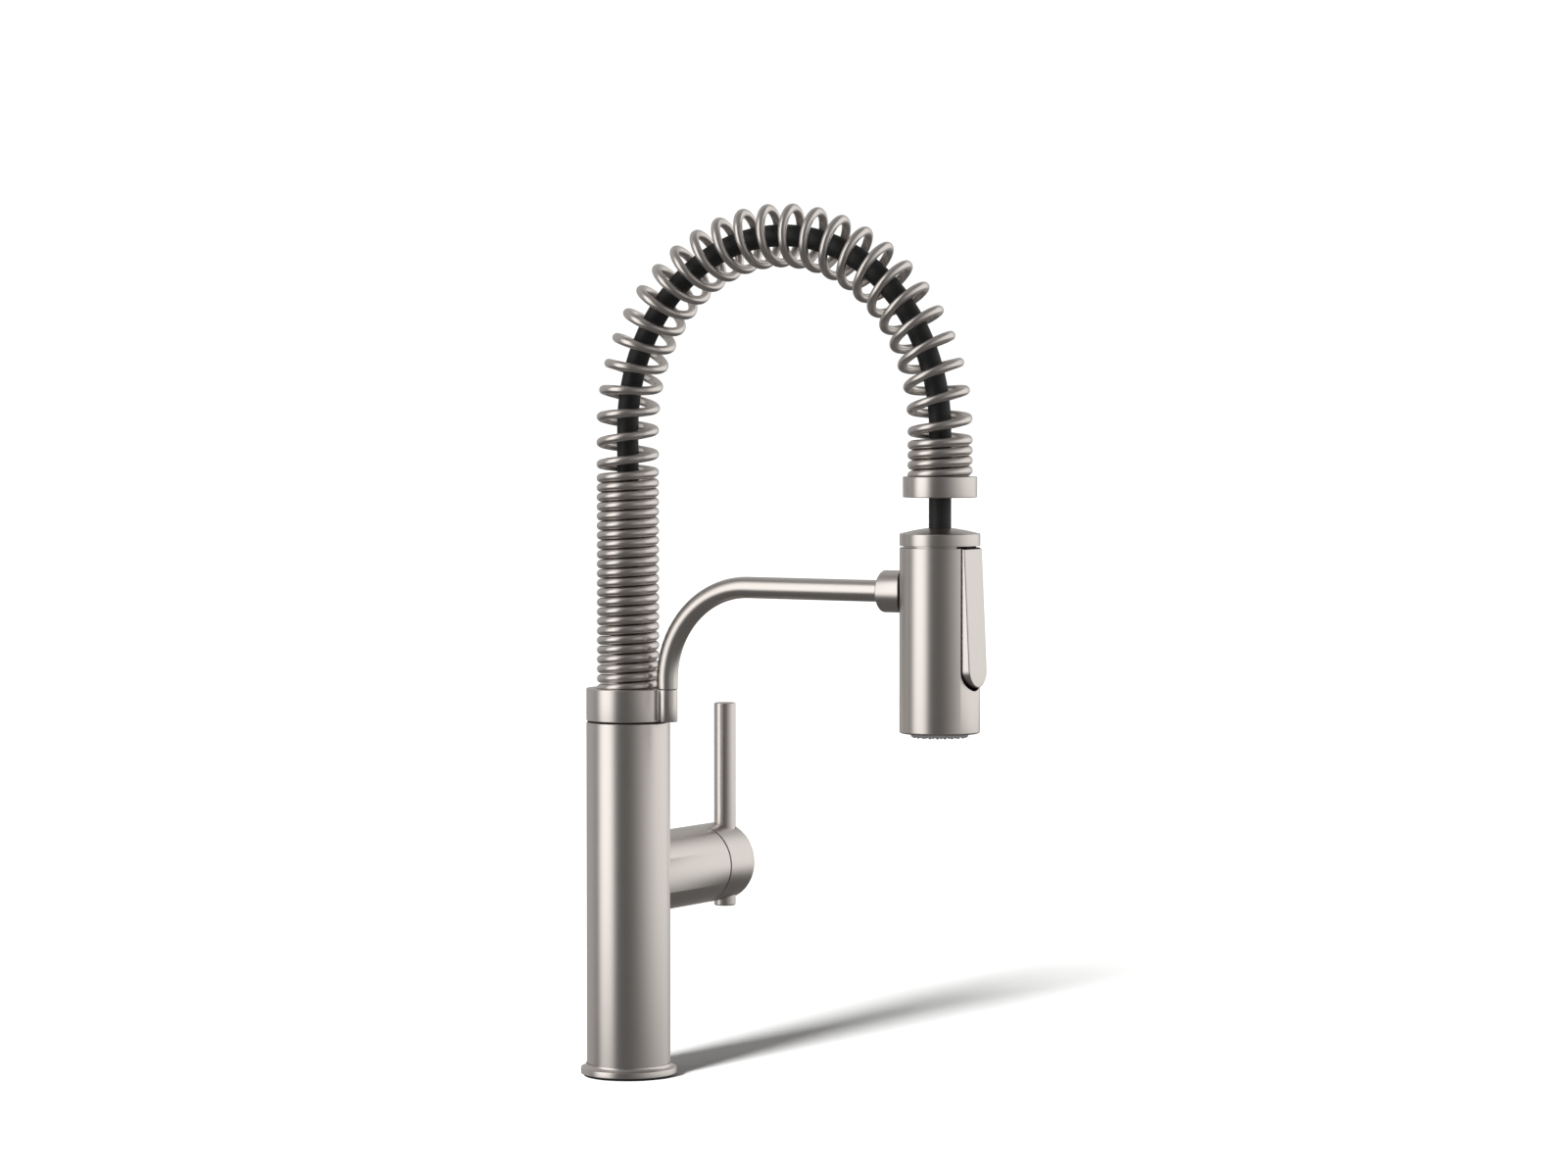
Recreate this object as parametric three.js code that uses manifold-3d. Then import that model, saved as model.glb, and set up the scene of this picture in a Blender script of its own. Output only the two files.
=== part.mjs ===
// Pull-down kitchen faucet: upright body with a side lever, spring spout, dock arm and sprayhead.
// Millimetres. +X runs from the body to the sprayhead, +Y to the lever, +Z up.
// The origin is the centre of the base, on the counter.
import * as THREE from 'three';
import { mergeVertices } from 'three/addons/utils/BufferGeometryUtils.js';
import Module from 'manifold-3d';

const wasm = await Module();
wasm.setup();

// ---------- driving dimensions ----------
const GAP = 0.3; // clearance between neighbouring pieces
const PARTING = 0.5; // open line between pieces that turn or lift off each other

// Overall
const REACH = 230.4; // body axis to sprayhead axis
const BODY_TOP = 229; // top of the body tube
const ARCH_RISE = 123.6; // height of the spout's arch above its straight legs
const DECK = 30; // counter that the shank and nut clamp

// Body and base
const BODY_R = 27;
const TUBE_WALL = 2;
const BORE_R = BODY_R - TUBE_WALL;
const GASKET_H = 1.3;
const FOOT_Z = GASKET_H + GAP; // underside of the metal base
const BASE_RING_R = BODY_R + 3.9;
const BASE_RING_SIDE = 4; // height of the ring's upright edge
const BASE_COVE = 2.6; // height of the concave shoulder above it
const SHANK_R = 15.9;
const SHANK_BORE_R = 12.6;
const SHANK_LENGTH = 62; // below the counter's top
const NUT_H = 13;

// Lever hub, along +Y
const HUB_Z = 129.2;
const HUB_R = BODY_R - 1.2;
const HUB_END = 84.5; // where the handle cap starts
const HUB_BORE_R = HUB_R - TUBE_WALL;
const PIVOT_Y = 58; // tilt pivot of the lever
const CAP_END = 115.2;
const CAP_EDGE = 3; // rounding of the cap's outer edge
const CAP_SPHERE = Math.hypot(HUB_R, HUB_END - PIVOT_Y);
const DOME_R = CAP_SPHERE - PARTING;
const DOME_WALL = 2;
const DOME_OPENING_R = 15.4;
const LEVER_R = 7.2;
const LEVER_X = 6.2; // the lever rod passes beside the hub axis
const LEVER_Y = 107.3;
const LEVER_BELOW = 29; // rod end below the hub axis
const LEVER_ABOVE = 106; // rod end above it

// Valve and cartridge, along +Y inside the hub
const VALVE_R = HUB_BORE_R - GAP;
const VALVE_CORE_R = 18;
const VALVE_CORE_HALF = 31;
const CHAMBER_R = VALVE_R - 4.6;
const CARTRIDGE_R = CHAMBER_R - GAP;
const CAVITY_R = CARTRIDGE_R - 2.8;
const CHAMBER_FLOOR = PIVOT_Y - 32;
const CARTRIDGE_BASE = 4.4;
const CARTRIDGE_END = PIVOT_Y + 5;
const VALVE_END = PIVOT_Y + 11;
const DISC_H = 4;
const DISC_TRAVEL = 4.4; // the moving disc's stroke
const MOVING_DISC_R = CAVITY_R - 4.7;
const CARRIER_H = 6.4;
const PORT_R = 2.6;
const PORTS = [[-7, -5], [7, -5], [0, 8]]; // cold, hot, mixed: sideways and up from the hub axis
const TURRET_BORE_R = 7.5;
const STEM_TIP = 14; // pivot to the centre of the stem's round tip
const STEM_R = 4.3;
const STEM_END = 41; // pivot to the stem's outer end
const EYE_R = 5;
const TIP_R = 2.8;
const NECK_R = 2.2;
const PIN_R = 1.2;

// Swivel between body and spout
const COLLAR_Z = BODY_TOP + 1;
const COLLAR_TOP = COLLAR_Z + 20.8;
const NECK_OUTER_R = 14.5;
const NECK_BORE_R = 12.2;
const NECK_LENGTH = 16;
const BUSH_WALL = 2.9;
const PLATE_H = 9.7;
const RISER_R = 11.5;
const RISER_BORE_R = 7.6;
const RISER_TOP = COLLAR_Z + 2;

// Spring and hose
const WIRE_R = 2.95;
const COIL_R = 17.3; // coil centre line
const SPRING_SEAT_R = COIL_R + WIRE_R + 0.45;
const SPRING_SEAT_DEPTH = 4.3;
const HOSE_R = 6.95;
const TIGHT_PITCH = 6.15;
const TIGHT_TOP = BODY_TOP + 156.9; // the close coils of the upright leg end here
const OPENING_TURNS = 1.85; // turns over which they open out
const LOOSE_TURNS = 24.15;
const CLOSING_TURNS = 1.05;
const END_PITCH = 6.2;
const END_TURNS = 4.33; // close coils at the end ring
const START_ANGLE = 152.8; // degrees, where the wire starts round the leg
const COIL_STEPS = 8; // straight facets in one turn
const WIRE_SIDES = 4;

// Sprayhead, round its own upright axis
const HEAD_R = 25;
const HEAD_WALL = 2.3;
const HEAD_BOTTOM = BODY_TOP + 1.8;
const SHELL_H = 114.8;
const SHELL_TOP = HEAD_BOTTOM + SHELL_H;
const CAP_BOTTOM = SHELL_TOP + 1.1;
const HEAD_CAP_SIDE = 7.3;
const HEAD_CAP_TOP = CAP_BOTTOM + 10.8;
const HOSE_SHOWN = 19.1; // hose between the sprayhead and the end ring
const RING_BOTTOM = HEAD_CAP_TOP + HOSE_SHOWN;
const RING_R = 23;
const RING_H = 12.9;
const RING_TOP = RING_BOTTOM + RING_H;
const LEG_TOP = RING_TOP + 28.5; // where the straight legs turn into the arch
const SLOT_HALF = 12.4; // paddle slot in the shell
const SLOT_BOTTOM = HEAD_BOTTOM + 26.7;
const PADDLE_HALF = SLOT_HALF - 1.2;
const PADDLE_BOTTOM = SLOT_BOTTOM + 2.3;
const PADDLE_TOP = SHELL_TOP - 0.4;
const PADDLE_T = 4;
const PADDLE_FACE_TOP = HEAD_R - 1.3; // face distance from the axis, top and bottom
const PADDLE_FACE_BOTTOM = HEAD_R + 2.8;
const PADDLE_PIN_X = HEAD_R - 8.5;
const PADDLE_PIN_Z = SHELL_TOP - 7.2;
const KNUCKLE_R = 3;
const CORE_R = HEAD_R - 12;
const CORE_BOTTOM = HEAD_BOTTOM + 11;
const CORE_HEAD = SHELL_TOP - 18.8; // the core widens here to carry the paddle and swivel
const CORE_TOP = SHELL_TOP - 6.2;
const SOCKET_R = HOSE_R + 3.25;
const SOCKET_BOTTOM = SHELL_TOP - 30.7;
const WATERWAY_R = 5.5;
const PLUNGER_Z = SHELL_TOP - 46.7;
const PLUNGER_R = 3;
const BALL_R = 8;
const BALL_Z = SHELL_TOP - 21.7;
const FACE_R = HEAD_R - 8;
const FACE_H = 8.5;
const FACE_Z = HEAD_BOTTOM - 1.4;
const NUB_DROP = 1.3; // nozzle nubs stand this far out of the face
const NUB_R = 0.9;
const NUB_RINGS = [[FACE_R - 7.4, 6], [FACE_R - 3.2, 12]]; // radius and count
const AERATOR_R = 6;

// Dock arm
const ARM_X = BODY_R + 3; // upright stretch of the arm
const ARM_R = 6.8;
const ARM_BORE_R = 4.6;
const ARM_SOCKET_R = 6.6;
const ARM_SOCKET_TOP = COLLAR_TOP;
const ARM_Z = HEAD_BOTTOM + 86.9; // level stretch
const ARM_BEND = 61;
const DOCK_R = 13.15;
const DOCK_LENGTH = 13; // level edge of the dock from its back face to the saddle's bottom
const PAD_T = 0.8;
const SADDLE_R = HEAD_R + GAP + PAD_T + GAP; // the dock's concave face, round the sprayhead axis
const DOCK_BACK = REACH - SADDLE_R - DOCK_LENGTH;
const MAGNET_R = 8;
const MAGNET_H = 5.5;

// ---------- finishes ----------
const FINISH = {
  nickel: { color: 0xc4bdb2, roughness: 0.32, metalness: 1 },
  steel: { color: 0xb4b6b8, roughness: 0.35, metalness: 1 },
  brass: { color: 0xc2a15a, roughness: 0.35, metalness: 1 },
  rubber: { color: 0x1b1b1c, roughness: 0.8, metalness: 0 },
  blackPlastic: { color: 0x232325, roughness: 0.5, metalness: 0 },
  greyPlastic: { color: 0x8b8d90, roughness: 0.5, metalness: 0 },
  whitePlastic: { color: 0xdedcd6, roughness: 0.5, metalness: 0 },
  ceramic: { color: 0xe8e6e0, roughness: 0.25, metalness: 0 },
  magnet: { color: 0x55565a, roughness: 0.4, metalness: 0.8 },
};

// ---------- shape helpers ----------
const facets = (r) => (r > 18 ? 24 : r > 8 ? 16 : r > 4 ? 12 : r > 1.6 ? 8 : 6);

// Turns a profile of [radius, height] points, anticlockwise, about the Z axis.
function revolve(profile) {
  const points = profile.map(([r, z]) => new THREE.Vector2(r, z));
  if (profile[0][0] > 0) points.push(points[0].clone());
  const widest = Math.max(...profile.map(([r]) => r));
  return new THREE.LatheGeometry(points, facets(widest)).rotateX(Math.PI / 2);
}

const rod = (r, z0, z1) => revolve([[0, z0], [r, z0], [r, z1], [0, z1]]);
const tube = (outer, inner, z0, z1) => revolve([[inner, z0], [outer, z0], [outer, z1], [inner, z1]]);

// Points of an arc in a profile, with angles in degrees.
function arc(r0, z0, radius, from, to, steps = 4) {
  return Array.from({ length: steps + 1 }, (_, i) => {
    const a = THREE.MathUtils.degToRad(from + ((to - from) * i) / steps);
    return [r0 + radius * Math.cos(a), z0 + radius * Math.sin(a)];
  });
}

const torus = (major, minor, z) => revolve(arc(major, z, minor, 0, 300, 5));
const alongX = (geometry) => geometry.rotateY(Math.PI / 2);
const alongY = (geometry) => geometry.rotateX(-Math.PI / 2);
const at = (geometry, x, y, z) => geometry.translate(x, y, z);
const block = (x0, x1, y0, y1, z0, z1) =>
  at(new THREE.BoxGeometry(x1 - x0, y1 - y0, z1 - z0), (x0 + x1) / 2, (y0 + y1) / 2, (z0 + z1) / 2);
const polar = (radius, angle) => [radius * Math.cos(angle), radius * Math.sin(angle)];

function solid(geometry) {
  const bare = geometry.clone();
  bare.deleteAttribute('normal');
  bare.deleteAttribute('uv');
  const merged = mergeVertices(bare, 1e-4);
  const index = [...merged.index.array];
  const triangles = [];
  for (let i = 0; i < index.length; i += 3) {
    const [a, b, c] = index.slice(i, i + 3);
    if (a !== b && b !== c && c !== a) triangles.push(a, b, c);
  }
  return new wasm.Manifold(new wasm.Mesh({
    numProp: 3,
    vertProperties: new Float32Array(merged.attributes.position.array),
    triVerts: new Uint32Array(triangles),
  }));
}

function geometryOf(manifold) {
  const mesh = manifold.getMesh();
  const geometry = new THREE.BufferGeometry();
  geometry.setAttribute('position', new THREE.BufferAttribute(new Float32Array(mesh.vertProperties), 3));
  geometry.setIndex(new THREE.BufferAttribute(new Uint32Array(mesh.triVerts), 1));
  geometry.computeVertexNormals();
  return geometry;
}

const combine = (method) => (first, ...others) =>
  geometryOf(others.reduce((whole, other) => whole[method](solid(other)), solid(first)));
const join = combine('add');
const cut = combine('subtract');
const common = combine('intersect');

// A path through chosen stations, so that straight stretches need no extra facets.
class Route extends THREE.Curve {
  constructor(stations) {
    super();
    this.stations = stations;
  }

  getPointAt(u, target = new THREE.Vector3()) {
    return target.copy(this.stations[Math.round(u * (this.stations.length - 1))]);
  }

  getTangentAt(u, target = new THREE.Vector3()) {
    const last = this.stations.length - 1;
    const i = Math.round(u * last);
    const before = this.stations[Math.max(i - 1, 0)];
    const after = this.stations[Math.min(i + 1, last)];
    return target.subVectors(after, before).normalize();
  }
}

function sweep(stations, radius, sides, boreRadius = 0) {
  const section = new THREE.Shape();
  section.absarc(0, 0, radius, 0, 2 * Math.PI);
  if (boreRadius > 0) section.holes.push(new THREE.Path().absarc(0, 0, boreRadius, 0, 2 * Math.PI));
  return new THREE.ExtrudeGeometry(section, {
    steps: stations.length - 1,
    curveSegments: sides / 2,
    extrudePath: new Route(stations),
  });
}

function piece(group, name, geometry, finish) {
  const mesh = new THREE.Mesh(geometry, new THREE.MeshStandardMaterial(FINISH[finish]));
  mesh.name = name;
  group.add(mesh);
}

function subassembly(parent, x = 0, y = 0, z = 0) {
  const group = new THREE.Group();
  group.position.set(x, y, z);
  parent.add(group);
  return group;
}

// ---------- base and mounting hardware ----------
function baseRing() {
  const sideTop = FOOT_Z + BASE_RING_SIDE;
  const top = sideTop + BASE_COVE;
  const inner = BODY_R + GAP;
  const depth = BASE_RING_R - inner - GAP;
  const cove = Array.from({ length: 5 }, (_, i) => {
    const a = (i / 4) * (Math.PI / 2);
    return [BASE_RING_R - depth * Math.sin(a), top - BASE_COVE * Math.cos(a)];
  });
  return revolve([[inner, FOOT_Z], [BASE_RING_R, FOOT_Z], ...cove, [inner, top]]);
}

function threadedShank() {
  const flange = BORE_R - GAP;
  return revolve([
    [SHANK_BORE_R, -SHANK_LENGTH], [SHANK_R - 1, -SHANK_LENGTH], [SHANK_R, 1 - SHANK_LENGTH],
    [SHANK_R, FOOT_Z + 1], [flange, FOOT_Z + 1], [flange, FOOT_Z + 12], [SHANK_BORE_R, FOOT_Z + 12],
  ]);
}

function mountingNut(top) {
  const hexagon = new THREE.CylinderGeometry(24.5, 24.5, NUT_H, 6).rotateX(Math.PI / 2);
  const body = at(hexagon, 0, 0, top - NUT_H / 2);
  return cut(body, rod(SHANK_R + GAP, top - NUT_H - 1, top + 1));
}

function baseAndMounting(faucet) {
  const base = subassembly(faucet);
  const sealH = 3;
  const washerH = 2;
  piece(base, 'base_gasket', tube(BASE_RING_R - 1.95, SHANK_R + 1.1, 0, GASKET_H), 'rubber');
  piece(base, 'base_ring', baseRing(), 'nickel');
  piece(base, 'threaded_shank', threadedShank(), 'brass');
  const under = subassembly(base, 0, 0, -DECK);
  piece(under, 'clamp_seal', tube(27, SHANK_R + GAP, -sealH, 0), 'rubber');
  const washerTop = -sealH - GAP;
  piece(under, 'clamp_washer', tube(26.5, SHANK_R + GAP, washerTop - washerH, washerTop), 'steel');
  piece(under, 'mounting_nut', mountingNut(washerTop - washerH - GAP), 'brass');
}

// ---------- body tube with its lever hub ----------
const onDome = (r, radius = DOME_R) => PIVOT_Y + Math.sqrt(radius ** 2 - r ** 2);

function bodyTube() {
  const edge = 0.5;
  const upright = revolve([
    [0, FOOT_Z], [BODY_R, FOOT_Z], [BODY_R, BODY_TOP - edge], [BODY_R - edge, BODY_TOP], [0, BODY_TOP],
  ]);
  const rim = onDome(HUB_BORE_R);
  const hub = alongY(revolve([[0, 0], [HUB_R, 0], [HUB_R, onDome(HUB_R)], [HUB_BORE_R, rim], [0, rim]]));
  const hubBore = alongY(rod(HUB_BORE_R, 0, rim + 1));
  const uprightBore = rod(BORE_R, FOOT_Z - 1, BODY_TOP + 1);
  return cut(join(upright, at(hub, 0, 0, HUB_Z)), uprightBore, at(hubBore, 0, 0, HUB_Z));
}

// ---------- valve: everything here is measured from the hub axis ----------
const INLET_Y = 10;
const INLET_R = 5;
const INLET_BORE_R = 3.2;
const INLET_LENGTH = 38;

function ports(y0, y1) {
  return PORTS.map(([x, z]) => at(alongY(rod(PORT_R, y0, y1)), x, 0, z));
}

function valveBody() {
  const back = -Math.sqrt((BORE_R - GAP) ** 2 - VALVE_R ** 2);
  const barrel = alongY(rod(VALVE_R, back, VALVE_END));
  const chamber = alongY(rod(CHAMBER_R, CHAMBER_FLOOR, VALVE_END + 1));
  const inlets = PORTS.slice(0, 2).map(([x, z]) =>
    at(rod(INLET_BORE_R, -VALVE_CORE_HALF - 1, z), x, INLET_Y, 0));
  const outlet = rod(5, PORTS[2][1], VALVE_CORE_HALF + 1);
  const core = rod(VALVE_CORE_R, -VALVE_CORE_HALF, VALVE_CORE_HALF);
  return cut(join(barrel, core), chamber, ...ports(INLET_Y - 1, CHAMBER_FLOOR + 1).slice(0, 2),
    ports(-1, CHAMBER_FLOOR + 1)[2], ...inlets, outlet);
}

function cartridgeBody() {
  const floor = CHAMBER_FLOOR + GAP;
  const cup = alongY(revolve([
    [0, floor], [CARTRIDGE_R, floor], [CARTRIDGE_R, CARTRIDGE_END], [CAVITY_R, CARTRIDGE_END],
    [CAVITY_R, floor + CARTRIDGE_BASE], [0, floor + CARTRIDGE_BASE],
  ]));
  return cut(cup, ...ports(floor - 1, floor + CARTRIDGE_BASE + 1));
}

const DISC_Y = CHAMBER_FLOOR + GAP + CARTRIDGE_BASE + GAP;
const MOVING_DISC_Y = DISC_Y + DISC_H + GAP;
const CARRIER_Y = MOVING_DISC_Y + DISC_H + GAP;

function fixedDisc() {
  const disc = alongY(rod(CAVITY_R - GAP, DISC_Y, DISC_Y + DISC_H));
  return cut(disc, ...ports(DISC_Y - 1, DISC_Y + DISC_H + 1));
}

// The moving disc starts half its stroke below the axis, which shuts the ports.
function movingDisc() {
  const disc = alongY(rod(MOVING_DISC_R, MOVING_DISC_Y, MOVING_DISC_Y + DISC_H));
  const pocket = alongY(rod(MOVING_DISC_R / 2, MOVING_DISC_Y - 1, MOVING_DISC_Y + DISC_H / 2));
  return at(cut(disc, pocket), 0, 0, -DISC_TRAVEL / 2);
}

function discCarrier() {
  const plate = at(alongY(rod(MOVING_DISC_R, CARRIER_Y, CARRIER_Y + CARRIER_H)), 0, 0, -DISC_TRAVEL / 2);
  return cut(plate, alongY(rod(TIP_R + 0.8, PIVOT_Y - STEM_TIP - TIP_R - 0.5, CARRIER_Y + CARRIER_H + 1)));
}

function turret() {
  const sleeve = alongY(tube(CAVITY_R - GAP, TURRET_BORE_R, PIVOT_Y - 10, PIVOT_Y + 4));
  return cut(sleeve, at(alongX(rod(PIN_R + GAP, -CAVITY_R, CAVITY_R)), 0, PIVOT_Y, 0));
}

function leverStem() {
  const angle = (across, radius) => THREE.MathUtils.radToDeg(Math.acos(across / radius));
  const tip = arc(0, -STEM_TIP, TIP_R, -90, angle(NECK_R, TIP_R), 5);
  const eye = arc(0, 0, EYE_R, -angle(NECK_R, EYE_R), angle(STEM_R, EYE_R), 5);
  tip[0][0] = 0;
  const stem = alongY(revolve([...tip, ...eye, [STEM_R, STEM_END], [0, STEM_END]]));
  return at(cut(stem, alongX(rod(PIN_R + GAP, -EYE_R - 1, EYE_R + 1))), 0, PIVOT_Y, 0);
}

function cartridgeNut() {
  const outer = CHAMBER_R - GAP;
  return alongY(tube(outer, outer - 6.5, CARTRIDGE_END + GAP, VALVE_END));
}

function hubDome() {
  const outer = HUB_BORE_R - GAP;
  const inner = outer - DOME_WALL;
  const skirt = VALVE_END + GAP;
  const radii = (from, to) => Array.from({ length: 4 }, (_, i) => from + ((to - from) * i) / 3);
  return alongY(revolve([
    [inner, skirt], [outer, skirt],
    ...radii(outer, DOME_OPENING_R).map((r) => [r, onDome(r)]),
    ...radii(DOME_OPENING_R, inner).map((r) => [r, onDome(r, DOME_R - DOME_WALL)]),
  ]));
}

function valve(faucet) {
  const hub = subassembly(faucet, 0, 0, HUB_Z);
  piece(hub, 'valve_body', valveBody(), 'brass');
  ['cold_inlet', 'hot_inlet'].forEach((name, i) => {
    const top = -VALVE_CORE_HALF - GAP;
    const fitting = tube(INLET_R, INLET_BORE_R, top - INLET_LENGTH, top);
    piece(hub, name, at(fitting, PORTS[i][0], INLET_Y, 0), 'brass');
  });
  piece(hub, 'cartridge_body', cartridgeBody(), 'whitePlastic');
  piece(hub, 'fixed_ceramic_disc', fixedDisc(), 'ceramic');
  piece(hub, 'moving_ceramic_disc', movingDisc(), 'ceramic');
  piece(hub, 'disc_carrier', discCarrier(), 'whitePlastic');
  piece(hub, 'cartridge_turret', turret(), 'whitePlastic');
  piece(hub, 'lever_stem', leverStem(), 'steel');
  const pinHalf = CAVITY_R - 2 * GAP;
  piece(hub, 'stem_pin', at(alongX(rod(PIN_R, -pinHalf, pinHalf)), 0, PIVOT_Y, 0), 'steel');
  piece(hub, 'cartridge_nut', cartridgeNut(), 'brass');
  piece(hub, 'hub_dome', hubDome(), 'nickel');
}

// ---------- handle: cap, lever rod and its set screw ----------
const SCREW_R = 1.5;
const SCREW_Y = PIVOT_Y + 39.2;

function handleCap() {
  const slope = Array.from({ length: 6 }, (_, i) => (HUB_R * i) / 5).map((r) => [r, onDome(r, CAP_SPHERE)]);
  const edge = arc(HUB_R - CAP_EDGE, CAP_END - CAP_EDGE, CAP_EDGE, 0, 90, 3);
  const body = alongY(revolve([...slope, ...edge, [0, CAP_END]]));
  const stemSocket = alongY(rod(STEM_R + GAP, PIVOT_Y, PIVOT_Y + STEM_END + GAP));
  const leverHole = at(rod(LEVER_R + GAP, -HUB_R - 1, HUB_R + 1), LEVER_X, LEVER_Y, 0);
  const screwHole = at(rod(SCREW_R + GAP, -HUB_R - 1, 0), 0, SCREW_Y, 0);
  return cut(body, stemSocket, leverHole, screwHole);
}

function leverRod() {
  const edge = 1;
  const bottom = arc(LEVER_R - edge, edge - LEVER_BELOW, edge, -90, 0, 3);
  const top = arc(LEVER_R - edge, LEVER_ABOVE - edge, edge, 0, 90, 3);
  return at(revolve([[0, -LEVER_BELOW], ...bottom, ...top, [0, LEVER_ABOVE]]), LEVER_X, LEVER_Y, 0);
}

function handle(faucet) {
  const group = subassembly(faucet, 0, 0, HUB_Z);
  piece(group, 'handle_cap', handleCap(), 'nickel');
  piece(group, 'lever_rod', leverRod(), 'nickel');
  const screw = rod(SCREW_R, -STEM_R - 2 * GAP - 8, -STEM_R - 2 * GAP);
  piece(group, 'handle_set_screw', at(screw, 0, SCREW_Y, 0), 'steel');
}

// ---------- riser and swivel ----------
const O_RING_R = 0.9;
const O_RING_Z = BODY_TOP - 5;

function riserTube() {
  const bottom = HUB_Z + VALVE_CORE_HALF + GAP;
  const groove = NECK_BORE_R - 2 * GAP - 2 * O_RING_R;
  const half = O_RING_R + GAP;
  return revolve([
    [RISER_BORE_R, bottom], [RISER_R, bottom], [RISER_R, O_RING_Z - half], [groove, O_RING_Z - half],
    [groove, O_RING_Z + half], [RISER_R, O_RING_Z + half], [RISER_R, RISER_TOP], [RISER_BORE_R, RISER_TOP],
  ]);
}

const CLIP_Z = BODY_TOP - 12.3;
const CLIP_H = 0.8;

function collar() {
  const low = COLLAR_Z - NECK_LENGTH;
  const shell = revolve([
    [NECK_BORE_R, low], [NECK_OUTER_R, low],
    [NECK_OUTER_R, CLIP_Z - GAP], [NECK_OUTER_R - 0.9, CLIP_Z - GAP],
    [NECK_OUTER_R - 0.9, CLIP_Z + CLIP_H + GAP], [NECK_OUTER_R, CLIP_Z + CLIP_H + GAP],
    [NECK_OUTER_R, COLLAR_Z], [BODY_R - 0.5, COLLAR_Z], [BODY_R, COLLAR_Z + 0.5],
    [BODY_R, COLLAR_TOP - 0.6], [BODY_R - 0.6, COLLAR_TOP], [SPRING_SEAT_R, COLLAR_TOP],
    [SPRING_SEAT_R, COLLAR_TOP - SPRING_SEAT_DEPTH], [NECK_BORE_R, COLLAR_TOP - SPRING_SEAT_DEPTH],
  ]);
  const socket = at(rod(ARM_SOCKET_R, COLLAR_Z, ARM_SOCKET_TOP), ARM_X, 0, 0);
  const socketInside = rod(SPRING_SEAT_R, COLLAR_TOP - SPRING_SEAT_DEPTH, COLLAR_TOP + 1);
  const studHole = at(rod(ARM_BORE_R - 0.1, COLLAR_Z + 8, ARM_SOCKET_TOP + 1), ARM_X, 0, 0);
  const screwHole = at(alongY(rod(SCREW_R + GAP, 0, ARM_SOCKET_R + 1)), ARM_X, 0, COLLAR_Z + 12);
  return cut(join(shell, socket), socketInside, studHole, screwHole);
}

function swivelBush() {
  const bottom = BODY_TOP - PLATE_H;
  const inner = NECK_OUTER_R + GAP;
  const outer = inner + BUSH_WALL;
  const low = BODY_TOP + GAP;
  const high = COLLAR_Z - GAP;
  return revolve([
    [inner, bottom], [outer, bottom], [outer, low],
    [BODY_R - 0.8, low], [BODY_R - 0.8, high], [inner, high],
  ]);
}

function swivel(faucet) {
  piece(faucet, 'riser_tube', riserTube(), 'brass');
  piece(faucet, 'riser_o_ring', torus(NECK_BORE_R - GAP - 0.1 - O_RING_R, O_RING_R, O_RING_Z), 'rubber');
  const plateInner = NECK_OUTER_R + BUSH_WALL + 2 * GAP;
  piece(faucet, 'bearing_plate', tube(BORE_R - GAP, plateInner, BODY_TOP - 10, BODY_TOP - GAP), 'brass');
  piece(faucet, 'swivel_bush', swivelBush(), 'blackPlastic');
  const clip = tube(plateInner + 2, NECK_OUTER_R - 0.9 + GAP, CLIP_Z, CLIP_Z + CLIP_H);
  piece(faucet, 'retaining_clip', cut(clip, block(-30, 0, -2, 2, CLIP_Z - 1, CLIP_Z + 2)), 'steel');
  piece(faucet, 'spout_collar', collar(), 'nickel');
}

// ---------- spring spout: two straight legs and an elliptical arch ----------
const SPRING_Z = COLLAR_TOP - SPRING_SEAT_DEPTH + WIRE_R + GAP;
const SPRING_END_Z = RING_TOP - 5.7;

// The spout's centre line, by distance from `z0` on the body leg, up over the arch and down to `z1`.
class SpoutLine extends THREE.Curve {
  constructor(z0, z1) {
    super();
    this.z0 = z0;
    this.z1 = z1;
    this.arcLengthDivisions = 1200;
  }

  getPoint(t, target = new THREE.Vector3()) {
    const half = REACH / 2;
    if (t < 1 / 4) return target.set(0, 0, THREE.MathUtils.lerp(this.z0, LEG_TOP, 4 * t));
    if (t > 3 / 4) return target.set(REACH, 0, THREE.MathUtils.lerp(LEG_TOP, this.z1, 4 * t - 3));
    const a = Math.PI * (2 * t - 0.5);
    return target.set(half - half * Math.cos(a), 0, LEG_TOP + ARCH_RISE * Math.sin(a));
  }
}

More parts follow.
